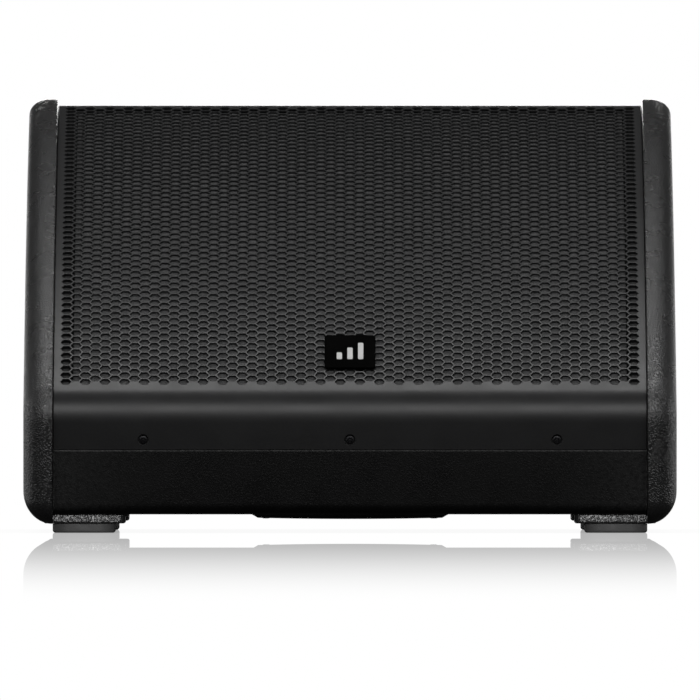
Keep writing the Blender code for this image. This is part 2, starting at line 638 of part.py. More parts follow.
def make_horn_driver(finishes, frame):
    """Compression driver behind the pole: front plate, magnet, phase plug, dome and rear cover."""
    plate = [(12.7, -127), (44, -127), (44, -120.3), (12.7, -120.3)]
    turned("hf_front_plate", plate, finishes["plated_steel"], frame, 24)
    magnet = [(27, -141), (47, -141), (47, -127.3), (27, -127.3)]
    turned("hf_magnet", magnet, finishes["ferrite"], frame, 24)
    plug = [(0, -148.4), (9, -147), (16, -143.4), (17, -141.5), (10, -138), (4, -128), (0, -122)]
    phase_plug = turned("hf_phase_plug", plug, finishes["gloss_plastic"], frame, 24)
    collar = [(14, -142.6), (26.7, -142.6), (26.7, -140.5), (14, -140.5)]
    join(phase_plug, turned("plug_collar", collar, None, frame, 24))
    front = [(0, -149.4), (9, -148), (16.6, -144.4), (18.6, -143.9)]
    dome = front + [(r, z - 1.2) for r, z in reversed(front)]
    turned("hf_diaphragm", dome, finishes["bare_aluminium"], frame, 24)
    inside = [(27.2, -143.4), (24, -143.4), (24, -152.5), (0, -152.5)]
    outside = [(0, -156), (30, -156), (46, -150), (46, -141.3), (27.2, -141.3)]
    turned("hf_rear_cover", inside + outside, finishes["gloss_plastic"], frame, 24)


def smooth_route(points, steps):
    """A Catmull-Rom line through the points, with a few steps between each pair."""
    knots = [Vector(point) for point in points[:1] + points + points[-1:]]
    route = []
    for a, b, c, d in zip(knots, knots[1:], knots[2:], knots[3:]):
        square, cube = 2 * a - 5 * b + 4 * c - d, 3 * b - a - 3 * c + d
        route += [(2 * b + (c - a) * t + square * t**2 + cube * t**3) / 2 for t in spread(0, 1, steps)[:-1]]
    return route + knots[-1:]


def make_speaker_cable(finishes):
    """The driver lead, held inside the cabinet from the basket's side to the amplifier board."""
    start, end = (97, 312, 190), (88, 462.5, 170)
    bends = [(112, 322, 184), (118, 350, 176), (112, 385, 168), (98, 420, 165)]
    route = smooth_route([start] + bends + [end], 4)
    line = bpy.data.curves.new("speaker_cable", "CURVE")
    line.dimensions = "3D"
    line.bevel_depth = 2.5 * MM
    line.bevel_resolution = 2
    line.use_fill_caps = True
    run = line.splines.new("POLY")
    run.points.add(len(route) - 1)
    for point, where in zip(run.points, route):
        point.co = (*place(*where), 1)
    line.materials.append(finishes["cable_jacket"])
    bpy.context.scene.collection.objects.link(bpy.data.objects.new("speaker_cable", line))


# ---------------------------------------------------------------- amplifier module
# Profiles here are (radius, height out of the plate's face).


def panel_hole(plate, name, centre, size):
    cut(plate, panel_box(name + "_hole", centre, size, (PLATE_INSIDE - 8, PLATE_FACE + 8)))


def round_panel_hole(plate, name, centre, radius):
    disc = [(0, -8), (radius, -8), (radius, 8), (0, 8)]
    cut(plate, turned(name + "_hole", disc, None, facing_back(*centre, PLATE_INSIDE), 24))


def make_plate(finishes):
    """The amplifier plate, with a hole for everything that is fitted in it."""
    depths = (PLATE_INSIDE, PLATE_FACE)
    size = (PLATE_WIDTH, PLATE_HEIGHT)
    plate = panel_box("amp_plate", (0, PLATE_CENTRE), size, depths, finishes["plate_aluminium"])
    panel_hole(plate, "display", DISPLAY, (68, 38))
    panel_hole(plate, "inlet", POWER_INLET, (28.6, 46.6))
    panel_hole(plate, "switch", POWER_SWITCH, (20.6, 28.6))
    for centre in BUTTONS:
        panel_hole(plate, "button", centre, (9, 6))
    for centre in LEVEL_KNOBS + [MENU_KNOB]:
        round_panel_hole(plate, "shaft", centre, 3.9)
    for centre in INPUT_JACKS + [LINK_SOCKET]:
        round_panel_hole(plate, "socket", centre, SOCKET_BARREL + 0.4)


def make_socket(name, centre, mouth_depth, material):
    """A square flange on a round barrel, with its round mouth, as input and link sockets share."""
    flange = (FRONT_OF_PLATE, FRONT_OF_PLATE + SOCKET_FLANGE)
    body = panel_box(name, (centre[0], centre[1] + 0.5), (26, 31), flange, material)
    frame = facing_back(*centre, FRONT_OF_PLATE)
    barrel = [(0, -30), (SOCKET_BARREL, -30), (SOCKET_BARREL, 2), (0, 2)]
    join(body, turned(name + "_barrel", barrel, None, frame, 24))
    floor = SOCKET_FLANGE - mouth_depth
    mouth = [(0, floor), (SOCKET_MOUTH, floor), (SOCKET_MOUTH, 9), (0, 9)]
    cut(body, turned(name + "_mouth", mouth, None, frame, 24))
    return body


def make_input_jacks(finishes):
    """Two combination inputs, each with a sprung push latch over its mouth."""
    for i, centre in enumerate(INPUT_JACKS, 1):
        name = f"input_jack_{i}"
        body = make_socket(name, centre, 11, finishes["gloss_plastic"])
        bore = [(0, -27), (3.3, -27), (3.3, 0), (0, 0)]
        cut(body, turned(name + "_bore", bore, None, facing_back(*centre, FRONT_OF_PLATE), 16))
        x, z = centre[0], centre[1] + 12.7
        pocket = (FRONT_OF_PLATE + 0.8, FRONT_OF_PLATE + 9)
        cut(body, panel_box(name + "_pocket", (x, z), (7, 4), pocket))
        reach = (FRONT_OF_PLATE + SOCKET_FLANGE - 1.6, FRONT_OF_PLATE + SOCKET_FLANGE + 2.4)
        latch = panel_box(f"jack_latch_{i}", (x, z), (6.4, 3.4), reach, finishes["bare_aluminium"])
        move_origin(latch, place(x, reach[0], z))


def make_link_socket(finishes):
    """A three-pin output, its pins standing on the floor of the mouth."""
    body = make_socket("link_socket", LINK_SOCKET, 16, finishes["gloss_plastic"])
    pin = [(0, -13), (1.2, -13), (1.2, -1), (0, -0.4)]
    for x, z in around(LINK_SOCKET, 5, (90, 210, 330)):
        join(body, turned("link_pin", pin, None, facing_back(x, z, FRONT_OF_PLATE), 8))


def make_controls(finishes):
    """Knobs with their shafts, push buttons, display window and the board that carries them."""
    face, top = PLATE_FACE - 19.5, PLATE_INSIDE - GAP
    board = box("control_board", (8, 116), (face - 1.6, face), (168, 284), finishes["circuit_board"])
    names = ["level_knob_1", "level_knob_2", "menu_knob"]
    for name, centre in zip(names, LEVEL_KNOBS + [MENU_KNOB]):
        radius = 11 if name == "menu_knob" else 7.5
        frame = facing_back(*centre, FRONT_OF_PLATE)
        shaft = [(0, SHAFT_END), (3, SHAFT_END), (3, GAP)]
        grip = [(radius, GAP), (radius - 0.3, 7.6), (radius - 1, 8.4), (0, 8.4)]
        turned(name, shaft + grip, finishes["gloss_plastic"], frame, 20)
        join(board, panel_box(name + "_pot", centre, (16, 16), (face - 0.5, top)))
        bore = [(0, SHAFT_END - 1), (3.4, SHAFT_END - 1), (3.4, 0), (0, 0)]
        cut(board, turned(name + "_bore", bore, None, frame, 16))
    cap_back = PLATE_INSIDE - 3
    for i, centre in enumerate(BUTTONS, 1):
        name = f"menu_button_{i}"
        cap = (cap_back + 1, PLATE_FACE + 1.8)
        button = panel_box(name, centre, (8, 5), cap, finishes["rubber"], 0.5, 1)
        join(button, panel_box(name + "_flange", centre, (10.4, 7.4), (cap_back, top)))
        move_origin(button, place(centre[0], cap_back, centre[1]))
        join(board, panel_box(name + "_switch", centre, (6, 6), (face - 0.5, cap_back - 1.3)))
    join(board, panel_box("display_block", DISPLAY, (72, 40), (face - 0.5, cap_back)))
    pane = (PLATE_INSIDE - 1.5, PLATE_FACE + 0.4)
    panel_box("display_window", DISPLAY, (67.4, 37.4), pane, finishes["display_glass"])


def make_power_inlet(finishes):
    """Three-blade mains inlet, with a fuse drawer in the same housing above it."""
    x, z = POWER_INLET
    face = FRONT_OF_PLATE + BEZEL
    black = finishes["gloss_plastic"]
    inlet = panel_box("power_inlet", POWER_INLET, (32, 50), (FRONT_OF_PLATE, face), black, 1, 1)
    join(inlet, panel_box("inlet_body", POWER_INLET, (28, 46), (face - 26, face - 1)))
    cut(inlet, panel_box("inlet_mouth", (x, z - 10.5), (24, 17), (face - 17, face + 5)))
    for blade in ((x - 7, z - 12.5), (x + 7, z - 12.5), (x, z - 8.5)):
        join(inlet, panel_box("inlet_blade", blade, (2, 4), (face - 18, face - 5.2)))
    slot = (x, z + 11)
    cut(inlet, panel_box("fuse_slot", slot, (22.6, 10.6), (face - 20, face + 5)))
    drawer = panel_box("fuse_drawer", slot, (22, 10), (face - 19, face + 1.5), black)
    move_origin(drawer, place(slot[0], face, slot[1]))


def make_power_switch(finishes):
    """A rocker in its bezel, at rest with its lower half pressed in."""
    face = FRONT_OF_PLATE + BEZEL
    black = finishes["gloss_plastic"]
    frame = panel_box("switch_frame", POWER_SWITCH, (24, 32), (FRONT_OF_PLATE, face), black, 1, 1)
    join(frame, panel_box("switch_body", POWER_SWITCH, (20, 28), (face - 22, face - 1)))
    cut(frame, panel_box("switch_hollow", POWER_SWITCH, (16.6, 25.2), (face - 14, face + 5)))
    section = [(-6, -8), (3.2, -11.5), (1.6, 0), (3.2, 11.5), (-6, 8)]
    outline = [(DEPTH_CENTRE + out, up) for out, up in section]
    rocker = side_prism("power_rocker", outline, -8, 8, black)
    pivot = place(POWER_SWITCH[0], ROCKER_PIVOT, POWER_SWITCH[1])
    rocker.matrix_world = Matrix.Translation(pivot) @ Matrix.Rotation(-ROCKER_TILT, 4, "X")


def make_electronics(finishes):
    """Power board on posts with its reservoir capacitors, a transformer, and the finned heat sink."""
    face, top = PLATE_FACE - 42, PLATE_INSIDE - GAP
    board = box("amp_board", (-118, 112), (face, face + 1.6), (104, 284), finishes["circuit_board"])
    post = [(0, -0.5), (3.5, -0.5), (3.5, top - face), (0, top - face)]
    for centre in BOARD_POSTS:
        join(board, turned("board_post", post, None, facing_back(*centre, face), 10))
    can = [(0, -34), (12, -34), (12.6, -33), (12.6, 0.5), (0, 0.5)]
    for centre in CAPACITORS:
        join(board, turned("capacitor", can, None, facing_back(*centre, face), 16))
    panel_box("transformer", TRANSFORMER, (56, 48), (face - 36, face - GAP), finishes["copper"], 4, 2)

    low, high = HEAT_SINK
    base = PLATE_INSIDE - 6
    sink = box("heat_sink", (low, high), (base, top), (112, 282), finishes["bare_aluminium"])
    for middle in spread(low + 1.5, high - 1.5, 4):
        fin = (middle - 1, middle + 1)
        join(sink, box("heat_sink_fin", fin, (PLATE_INSIDE - 34, base + 1), (112.5, 281.5)))


def make_wadding(finishes):
    """A pad of damping wadding on the base, behind the hand-hold."""
    box("damping_pad", (-200, 200), (300, 420), (BASE_TOP + GAP, BASE_TOP + 18), finishes["wadding"], 5, 2)


def main():
    for old in list(bpy.data.objects):
        bpy.data.objects.remove(old, do_unlink=True)
    finishes = make_finishes()
    make_cabinet(finishes)
    make_ports(finishes)
    make_cheek("left_end_cheek", -1, finishes["moulded_plastic"])
    make_cheek("right_end_cheek", 1, finishes["moulded_plastic"])
    make_feet(finishes)
    make_grille(finishes)
    make_badge(finishes)
    make_handle(finishes)
    make_driver(finishes)
    make_speaker_cable(finishes)
    make_plate(finishes)
    make_input_jacks(finishes)
    make_link_socket(finishes)
    make_controls(finishes)
    make_power_inlet(finishes)
    make_power_switch(finishes)
    make_electronics(finishes)
    make_wadding(finishes)


main()
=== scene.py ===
"""Powered stage monitor wedge: finished surfaces and a plain studio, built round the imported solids.

Frame: origin at the bottom centre, +X to the right of the grille, the grille faces -Y, +Z up. Side shapes are
(depth, height) in millimetres: depth runs back from the face of the grille's lip, height up from the floor.
Each new surface is worked out with numpy as whole arrays, and turned into a mesh once.
"""

import json
import math

import bmesh
import bpy
import numpy as np
from bpy.props import FloatProperty, FloatVectorProperty, PointerProperty
from bpy.types import Operator, Panel, PropertyGroup
from mathutils import Matrix, Vector
from mathutils.geometry import delaunay_2d_cdt

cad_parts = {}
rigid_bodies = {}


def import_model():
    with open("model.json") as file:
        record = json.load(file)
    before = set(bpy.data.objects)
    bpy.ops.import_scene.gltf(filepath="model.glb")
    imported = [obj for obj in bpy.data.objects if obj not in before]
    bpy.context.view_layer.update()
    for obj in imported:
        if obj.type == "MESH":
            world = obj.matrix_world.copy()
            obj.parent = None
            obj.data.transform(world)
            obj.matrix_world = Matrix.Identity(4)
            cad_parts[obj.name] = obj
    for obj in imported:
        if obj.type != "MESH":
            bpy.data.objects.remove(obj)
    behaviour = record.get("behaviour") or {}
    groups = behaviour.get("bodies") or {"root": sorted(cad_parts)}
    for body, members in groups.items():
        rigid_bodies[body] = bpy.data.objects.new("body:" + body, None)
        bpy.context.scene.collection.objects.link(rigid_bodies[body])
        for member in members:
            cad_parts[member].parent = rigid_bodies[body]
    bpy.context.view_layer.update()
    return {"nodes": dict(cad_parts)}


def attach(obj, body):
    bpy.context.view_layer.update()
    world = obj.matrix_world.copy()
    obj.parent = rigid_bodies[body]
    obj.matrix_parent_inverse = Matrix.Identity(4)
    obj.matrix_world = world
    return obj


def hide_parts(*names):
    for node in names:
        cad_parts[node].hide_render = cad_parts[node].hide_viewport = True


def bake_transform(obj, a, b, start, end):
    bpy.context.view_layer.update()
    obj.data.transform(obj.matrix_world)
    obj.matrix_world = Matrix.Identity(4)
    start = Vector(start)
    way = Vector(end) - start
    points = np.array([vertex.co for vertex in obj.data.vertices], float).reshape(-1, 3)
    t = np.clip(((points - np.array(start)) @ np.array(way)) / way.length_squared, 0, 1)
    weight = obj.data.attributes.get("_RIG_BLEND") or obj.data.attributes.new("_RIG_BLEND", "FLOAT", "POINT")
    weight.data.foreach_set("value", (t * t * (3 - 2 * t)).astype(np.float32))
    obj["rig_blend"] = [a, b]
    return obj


bl_info = {
    "name": "Stage monitor wedge",
    "version": (1, 0, 0),
    "blender": (4, 5, 0),
    "location": "3D View > Sidebar > Wedge",
    "description": "Finished pieces and studio for a powered stage monitor wedge",
    "category": "Object",
}

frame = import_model()

MM = 0.001
MIDDLE = 257  # depth of the frame's origin
CABINET = "cabinet"

# Section of the grille: lip, bend, long curve, tight corner and back flange
LIP_BOTTOM, BEND_HEIGHT, BEND_RADIUS = 70, 92.3, 36
SLOPE_FRONT, SLOPE_BACK = math.radians(37), math.radians(16.4)
CURVE_RADIUS, CORNER_RADIUS, FLANGE_BOTTOM = 1507, 8, 335
CURVE_CENTRE = (
    BEND_RADIUS + (CURVE_RADIUS - BEND_RADIUS) * math.sin(SLOPE_FRONT),
    BEND_HEIGHT - (CURVE_RADIUS - BEND_RADIUS) * math.cos(SLOPE_FRONT),
)
CORNER_CENTRE = (
    CURVE_CENTRE[0] - (CURVE_RADIUS - CORNER_RADIUS) * math.sin(SLOPE_BACK),
    CURVE_CENTRE[1] + (CURVE_RADIUS - CORNER_RADIUS) * math.cos(SLOPE_BACK),
)
BEND_LENGTH = BEND_RADIUS * (math.pi / 2 - SLOPE_FRONT)
CURVE_LENGTH = CURVE_RADIUS * (SLOPE_FRONT - SLOPE_BACK)
CORNER_LENGTH = CORNER_RADIUS * (math.pi / 2 + SLOPE_BACK)
LIP_LENGTH = BEND_HEIGHT - LIP_BOTTOM
FLANGE_LENGTH = CORNER_CENTRE[1] - FLANGE_BOTTOM
BACK_FACE = 504.24
PLATE_FACE = 506.54
FRONT_OF_PLATE = 506.84

# Baffle and driver frame
BAFFLE_SLOPE = math.radians(26.7)
BAFFLE_START = (19.7, 110.3)
DRIVER_ALONG = 295
PORT_ALONG, PORT_SIDE = 72, 165

# End cheeks
CHEEK_FRONT, CHEEK_BACK, CHEEK_BOTTOM, CHEEK_TOP = -6, 520, 7.6, 369
ROUNDING_LOW, ROUNDING_HIGH = (24.4, 28), (17.5, 14)
CHEEK_THICK = 25
CHEEK_CORNER, CHEEK_TOP_CORNER = 20, 22
CHEEK_STEPS = (14, 30, 44, 20, 14)
CHEEK_SCREWS = [(60, 60), (150, 140), (455, 60), (455, 290)]
FOOT_DEPTHS = {"front": 57, "rear": 465}
FOOT_OUT = 224

# Controls on the amplifier plate, as (x, height)
DISPLAY = (74, 262)
MENU_KNOB = (22, 262)
BUTTONS = [(106, 205), (106, 190), (106, 175)]
LEVEL_KNOBS = [(70, 205), (22, 205)]
INPUT_JACKS = [(78, 142), (32, 142)]
LINK_SOCKET = (-14, 142)
POWER_INLET = (-92, 148)
POWER_SWITCH = (-92, 232)


# ---------------------------------------------------------------- settings


def size(name, description, default, low, high):
    """A length in millimetres that a user may change."""
    return FloatProperty(name=name, description=description, default=default, min=low, max=high, unit="NONE")


def colour(name, description, default):
    return FloatVectorProperty(
        name=name, description=description, default=default, size=3, min=0, max=1, subtype="COLOR"
    )


class WedgeSizes(PropertyGroup):
    """Sizes of the details, in millimetres."""

    hole_pitch: size("Hole pitch", "Distance between the middles of two holes in one column", 9.525, 5, 20)
    hole_size: size("Hole size", "Width of a grille hole across its flats", 8.0, 3, 15)
    hole_edge: size("Hole edge", "Rounding that the coating leaves on each hole's edge", 0.22, 0.05, 0.6)
    sheet: size("Grille sheet", "Thickness of the grille's steel", 1.5, 0.8, 3)
    board_edge: size("Board edge", "Rounding of the painted boards' edges", 1.2, 0.3, 4)
    foot_corner: size("Foot corner", "Rounding of a rubber foot's upright corners", 15, 4, 24)


class WedgeColours(PropertyGroup):
    """Base colours of the main finishes."""

    paint: colour("Textured paint", "Sprayed paint of the cabinet", (0.004, 0.004, 0.0041))
    plastic: colour("Moulded plastic", "End cheeks and hand-hold", (0.02, 0.02, 0.0203))
    grille: colour("Grille coating", "Powder coating of the grille", (0.018, 0.018, 0.0185))
    foam: colour("Grille foam", "Acoustic foam behind the holes", (0.06, 0.06, 0.061))
    rubber: colour("Rubber", "Feet and grip", (0.09, 0.09, 0.09))
    print: colour("Printed marks", "White print on badge and panel", (0.75, 0.75, 0.74))


class WedgeStudio(PropertyGroup):
    """Camera and lights."""

    distance: FloatProperty(
        name="Camera distance",
        description="Distance from the camera to the front of the grille",
        default=25.0, min=2, max=60, unit="LENGTH",
    )
    width: FloatProperty(
        name="Picture width", description="Width that the picture covers at the grille's lip",
        default=0.5887, min=0.2, max=3, unit="LENGTH",
    )
    height: FloatProperty(
        name="Camera height", description="Height of the level camera above the floor",
        default=0.1539, min=0, max=3, unit="LENGTH",
    )


# ---------------------------------------------------------------- points and frames


def place(x, depth, height):
    """Points of the frame in metres, from x, depth and height in millimetres; arrays are broadcast."""
    x, depth, height = np.broadcast_arrays(x, depth, height)
    return np.stack([x, depth - MIDDLE, height], -1) * MM


def set_at(x, depth, height, turn=0.0, axis="X"):
    """A frame at that place, turned about one axis."""
    point = Vector(place(float(x), float(depth), float(height)))
    return Matrix.Translation(point) @ Matrix.Rotation(turn, 4, axis)


def facing_back(x, height, depth=FRONT_OF_PLATE):
    """Z points backwards and Y down."""
    return set_at(x, depth, height, -math.pi / 2)


def facing_front(x, height, depth=0):
    """Z points to the front and Y up."""
    return set_at(x, depth, height, math.pi / 2)


def facing_down(x, depth, height):
    return set_at(x, depth, height, math.pi)


def facing_side(side, depth, height, x):
    """Z points out of the left (-1) or right (1) end."""
    return set_at(side * x, depth, height, side * math.pi / 2, "Y")


def on_baffle(along, x=0):
    """On the baffle's outer face, Z pointing out of it."""
    depth = BAFFLE_START[0] + along * math.cos(BAFFLE_SLOPE)
    height = BAFFLE_START[1] + along * math.sin(BAFFLE_SLOPE)
    return set_at(x, depth, height, BAFFLE_SLOPE)


def moved(points, matrix):
    """Local points in millimetres, carried into the frame in metres."""
    turn = np.array(matrix.to_3x3())
    return np.asarray(points, float) * MM @ turn.T + np.array(matrix.translation)


def arc(centre, radius, start, end, steps):
    """Points on a circle from one angle to another, in radians."""
    angle = np.linspace(start, end, steps + 1)
    return np.stack([centre[0] + radius * np.cos(angle), centre[1] + radius * np.sin(angle)], -1)


def soften(corners, radius, steps=4):
    """A broken line whose inner corners are swept by curves. Each runs from a point that lies a radius before
    the corner P to one as far behind it, along (1 - t)^2 A + 2 t (1 - t) P + t^2 B."""
    corners = np.asarray(corners, float)
    before, at, after = corners[:-2], corners[1:-1], corners[2:]
    back, on = before - at, after - at
    back_length = np.linalg.norm(back, axis=1, keepdims=True)
    on_length = np.linalg.norm(on, axis=1, keepdims=True)
    reach = np.minimum(radius, 0.49 * np.minimum(back_length, on_length))
    start, end = at + back / back_length * reach, at + on / on_length * reach
    t = np.linspace(0, 1, steps + 1)[:, None, None]
    swept = (1 - t) ** 2 * start + 2 * t * (1 - t) * at + t**2 * end
    return np.concatenate([corners[:1], swept.transpose(1, 0, 2).reshape(-1, 2), corners[-1:]])


def soft_ring(corners, radius, steps=4):
    """A closed section with every corner swept, its first point repeated at the end."""
    corners = np.asarray(corners, float)
    middle = (corners[:1] + corners[1:2]) / 2
    return soften(np.concatenate([middle, corners[1:], corners[:1], middle]), radius, steps)


# ---------------------------------------------------------------- surfaces
# A surface is a pair: points in metres, and faces as an array of corner numbers.


def grid(points, wrap=False):
    """A surface through rows of points; wrap joins the last column to the first."""
    rows, columns, size_of_point = points.shape
    index = np.arange(rows * columns).reshape(rows, columns)
    if wrap:
        index = np.concatenate([index, index[:, :1]], axis=1)
    corners = [index[:-1, :-1], index[:-1, 1:], index[1:, 1:], index[1:, :-1]]
    return points.reshape(-1, size_of_point), np.stack(corners, -1).reshape(-1, 4)


def turned(profile, matrix, segments=48, flutes=0, flute_depth=0.0, fluted=(0, 0)):
    """A profile of (radius, height) turned about Z: (r cos a, r sin a, height). Flutes shorten r by
    flute_depth (1 - cos(flutes a)) / 2 where the height lies in the fluted span."""
    profile = np.asarray(profile, float)
    angle = np.linspace(0, 2 * math.pi, segments, endpoint=False)
    radius, height = profile[:, :1], profile[:, 1:]
    if flutes:
        inside = (height > fluted[0]) & (height < fluted[1]) & (radius > flute_depth)
        radius = radius - inside * flute_depth * (1 - np.cos(flutes * angle)) / 2
    points = np.stack([radius * np.cos(angle), radius * np.sin(angle), height + 0 * angle], -1)
    return grid(moved(points, matrix), wrap=True)


def outline_of(width, length, corner, steps=6):
    """A rectangle with quarter-circle corners, anticlockwise, as (x, y)."""
    corner = min(corner, width / 2 - 0.01, length / 2 - 0.01)
    across, along = width / 2 - corner, length / 2 - corner
    middles = [(across, along), (-across, along), (-across, -along), (across, -along)]
    quarter = math.pi / 2
    return np.concatenate(
        [arc(m, corner, i * quarter, (i + 1) * quarter, steps) for i, m in enumerate(middles)]
    )


def block(width, length, corner, levels, matrix, steps=6, capped=True):
    """Rounded rectangles stacked on (height, inset) levels, closed at both ends by a fan to the middle."""
    loops = []
    for height, inset in levels:
        loop = outline_of(width - 2 * inset, length - 2 * inset, max(corner - inset, 0.15), steps)
        loops.append(np.column_stack([loop, np.full(len(loop), height)]))
    if capped:
        ends = [np.zeros_like(loops[0]) + [0, 0, levels[end][0]] for end in (0, -1)]
        loops = [ends[0], *loops, ends[1]]
    return grid(moved(np.array(loops), matrix), wrap=True)


def pillow(low, high, low_edge, high_edge, steps=4):
    """Levels of a block with quarter-round lower and upper edges."""
    angle = np.linspace(0, math.pi / 2, steps + 1)
    lower = np.stack([low + low_edge * (1 - np.cos(angle)), low_edge * (1 - np.sin(angle))], -1)
    upper = np.stack([high - high_edge * (1 - np.cos(angle)), high_edge * (1 - np.sin(angle))], -1)
    return np.concatenate([lower, upper[::-1]])


def inset_outline(outline, distance):
    """A closed outline with every side moved in by a distance: each corner goes along its bisector."""
    after = np.roll(outline, -1, 0) - outline
    after /= np.linalg.norm(after, axis=1, keepdims=True)
    before = np.roll(after, 1, 0)
    normal = np.stack([-after[:, 1] - before[:, 1], after[:, 0] + before[:, 0]], -1)
    scale = 2 / np.maximum((normal**2).sum(1, keepdims=True), 0.2)
    turning = np.sum(outline[:, 0] * np.roll(outline[:, 1], -1) - np.roll(outline[:, 0], -1) * outline[:, 1])
    return outline + normal * scale * distance * np.sign(turning)


def board(outline, low_x, high_x, edge):
    """A side outline of (depth, height) extruded across, with rounded ends and corners."""
    closed = np.concatenate([outline, outline[:1]])
    outline = soft_ring(closed[:-1], edge, 3)[:-1]
    loops = []
    for x, inset in pillow(low_x, high_x, edge, edge, 3):
        loop = inset_outline(outline, inset)
        loops.append(place(x, loop[:, 0], loop[:, 1]))
    middle = outline.mean(0)
    ends = [np.zeros_like(loops[0]) + place(x, *middle) for x in (low_x, high_x)]
    return grid(np.array([ends[0], *loops, ends[1]]), wrap=True)


def pierced(outline, holes):
    """A flat region with holes cut out, as 2D points and triangles between them (constrained Delaunay)."""
    rings = [np.asarray(ring, float) for ring in (outline, *holes)]
    points = np.concatenate(rings)
    starts = np.cumsum([0] + [len(ring) for ring in rings])
    loops = [list(range(a, b)) for a, b in zip(starts, starts[1:])]
    edges = [(loop[i - 1], loop[i]) for loop in loops for i in range(len(loop))]
    flat = [Vector(point) for point in points]
    made = delaunay_2d_cdt(flat, edges, [], 1, 1e-6)
    points, faces = np.array([tuple(v) for v in made[0]]), np.array([tuple(f) for f in made[2]])
    middle = points[faces].mean(1)
    for hole in rings[1:]:
        out = ~within(middle, hole)
        faces, middle = faces[out], middle[out]
    return points, faces


def within(points, loop):
    """Which points lie inside a closed loop: a line to the right crosses it an odd number of times."""
    x, y = points[:, :1], points[:, 1:]
    a, b = loop, np.roll(loop, -1, 0)
    rise = np.where(b[:, 1] == a[:, 1], 1e-12, b[:, 1] - a[:, 1])
    crosses = (a[:, 1] > y) != (b[:, 1] > y)
    return (crosses & (x < a[:, 0] + (y - a[:, 1]) * (b[:, 0] - a[:, 0]) / rise)).sum(1) % 2 == 1


def screw_head(radius, height, matrix, dome=0.5, socket=0.45, lobes=6, rings=12, segments=36):
    """A machine screw's head on a disc grid: height falls as a dome towards a rounded rim, and a lobed socket
    of radius socket * R (1 + 0.12 cos(lobes a)) is pressed 60% into it."""
    share = np.linspace(0, 1, rings + 1)[:, None]
    angle = np.linspace(0, 2 * math.pi, segments, endpoint=False)
    rim = np.clip((1 - share) / 0.12, 0, 1)
    top = height * (1 - dome * share**2) * np.sqrt(1 - (1 - rim) ** 2)
    edge = socket * (1 + 0.12 * np.cos(lobes * angle))
    pressed = 0.6 * height * np.clip((edge - share) / 0.06 + 0.5, 0, 1)
    level = top - pressed
    points = np.stack([radius * share * np.cos(angle), radius * share * np.sin(angle), level], -1)
    foot = points[-1:] - [0, 0, height]
    under = np.zeros_like(foot) + [0, 0, -height]
    return grid(moved(np.concatenate([points, foot, under]), matrix), wrap=True)


def piece(name, surfaces, finish, body=CABINET, replaces=(), slot=None, smooth=35):
    """One finished object from its surfaces: doubles merged, faces turned outwards, riding on its body."""
    points, faces, count = [], [], 0
    for where, corners in surfaces:
        points.append(where)
        faces += (corners + count).tolist()
        count += len(where)
    mesh = bpy.data.meshes.new(name)
    mesh.from_pydata(np.concatenate(points).tolist(), [], faces)
    maker = bmesh.new()
    maker.from_mesh(mesh)
    bmesh.ops.remove_doubles(maker, verts=maker.verts, dist=2e-6)
    bmesh.ops.dissolve_degenerate(maker, dist=1e-7, edges=maker.edges)
    loose = [v for v in maker.verts if not v.link_faces]
    bmesh.ops.delete(maker, geom=loose, context="VERTS")
    bmesh.ops.recalc_face_normals(maker, faces=maker.faces)
    maker.to_mesh(mesh)
    maker.free()
    mesh.shade_smooth()
    mesh.set_sharp_from_angle(angle=math.radians(smooth))
    mesh.materials.append(finish_of(finish))
    made = bpy.data.objects.new(name, mesh)
    bpy.context.scene.collection.objects.link(made)
    if body:
        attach(made, body)
    if replaces:
        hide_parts(*replaces)
    return made


def refinish(finish, *nodes):
    """Gives solids that keep their own mesh a finish."""
    for name in nodes:
        node = frame["nodes"][name]
        for slot in node.material_slots:
            slot.material = finish_of(finish)


# ---------------------------------------------------------------- effects
# Each effect is a node group, built once. Every pattern has the same sockets: Scale (details per metre) and
# Vector in, Height (relief, 0 to 1) and Shade (0 to 1) out. Shade mostly follows the relief, so hollows come
# out darker and crests lighter in the colour: grain tone and painted shade together.


def node(tree, kind, takes=None, **settings):
    """Adds a node, and gives its inputs a value or a link from another node's socket."""
    made = tree.nodes.new(kind)
    for name, value in settings.items():
        setattr(made, name, value)
    for name, value in (takes or {}).items():
        if isinstance(value, bpy.types.NodeSocket):
            tree.links.new(value, made.inputs[name])
        else:
            made.inputs[name].default_value = value
    return made


def new_group(name, takes, gives):
    """An empty node group with its sockets, and its input and output nodes."""
    group = bpy.data.node_groups.new(name, "ShaderNodeTree")
    for label, kind, default in takes:
        socket = group.interface.new_socket(label, in_out="INPUT", socket_type=f"NodeSocket{kind}")
        if default is not None:
            socket.default_value = default
    for label, kind in gives:
        group.interface.new_socket(label, in_out="OUTPUT", socket_type=f"NodeSocket{kind}")
    return group, node(group, "NodeGroupInput"), node(group, "NodeGroupOutput")


def new_pattern(name):
    takes = [("Vector", "Vector", None), ("Scale", "Float", 1000.0)]
    return new_group(name, takes, [("Height", "Float"), ("Shade", "Float")])


def maths(group, operation, *values, clamp=False):
    takes = dict(enumerate(values))
    return node(group, "ShaderNodeMath", takes, operation=operation, use_clamp=clamp).outputs[0]


def ranged(group, value, low, high, start=0.0, end=1.0):
    takes = {"Value": value, "From Min": low, "From Max": high, "To Min": start, "To Max": end}
    return node(group, "ShaderNodeMapRange", takes, interpolation_type="SMOOTHSTEP").outputs[0]


def noise(group, vector, scale, detail=3.0, roughness=0.55, distortion=0.0):
    takes = {
        "Vector": vector, "Scale": scale, "Detail": detail, "Roughness": roughness, "Distortion": distortion
    }
    return node(group, "ShaderNodeTexNoise", takes).outputs["Fac"]


def stretched(group, vector, amounts):
    takes = {0: vector, 1: amounts}
    return node(group, "ShaderNodeVectorMath", takes, operation="MULTIPLY").outputs[0]


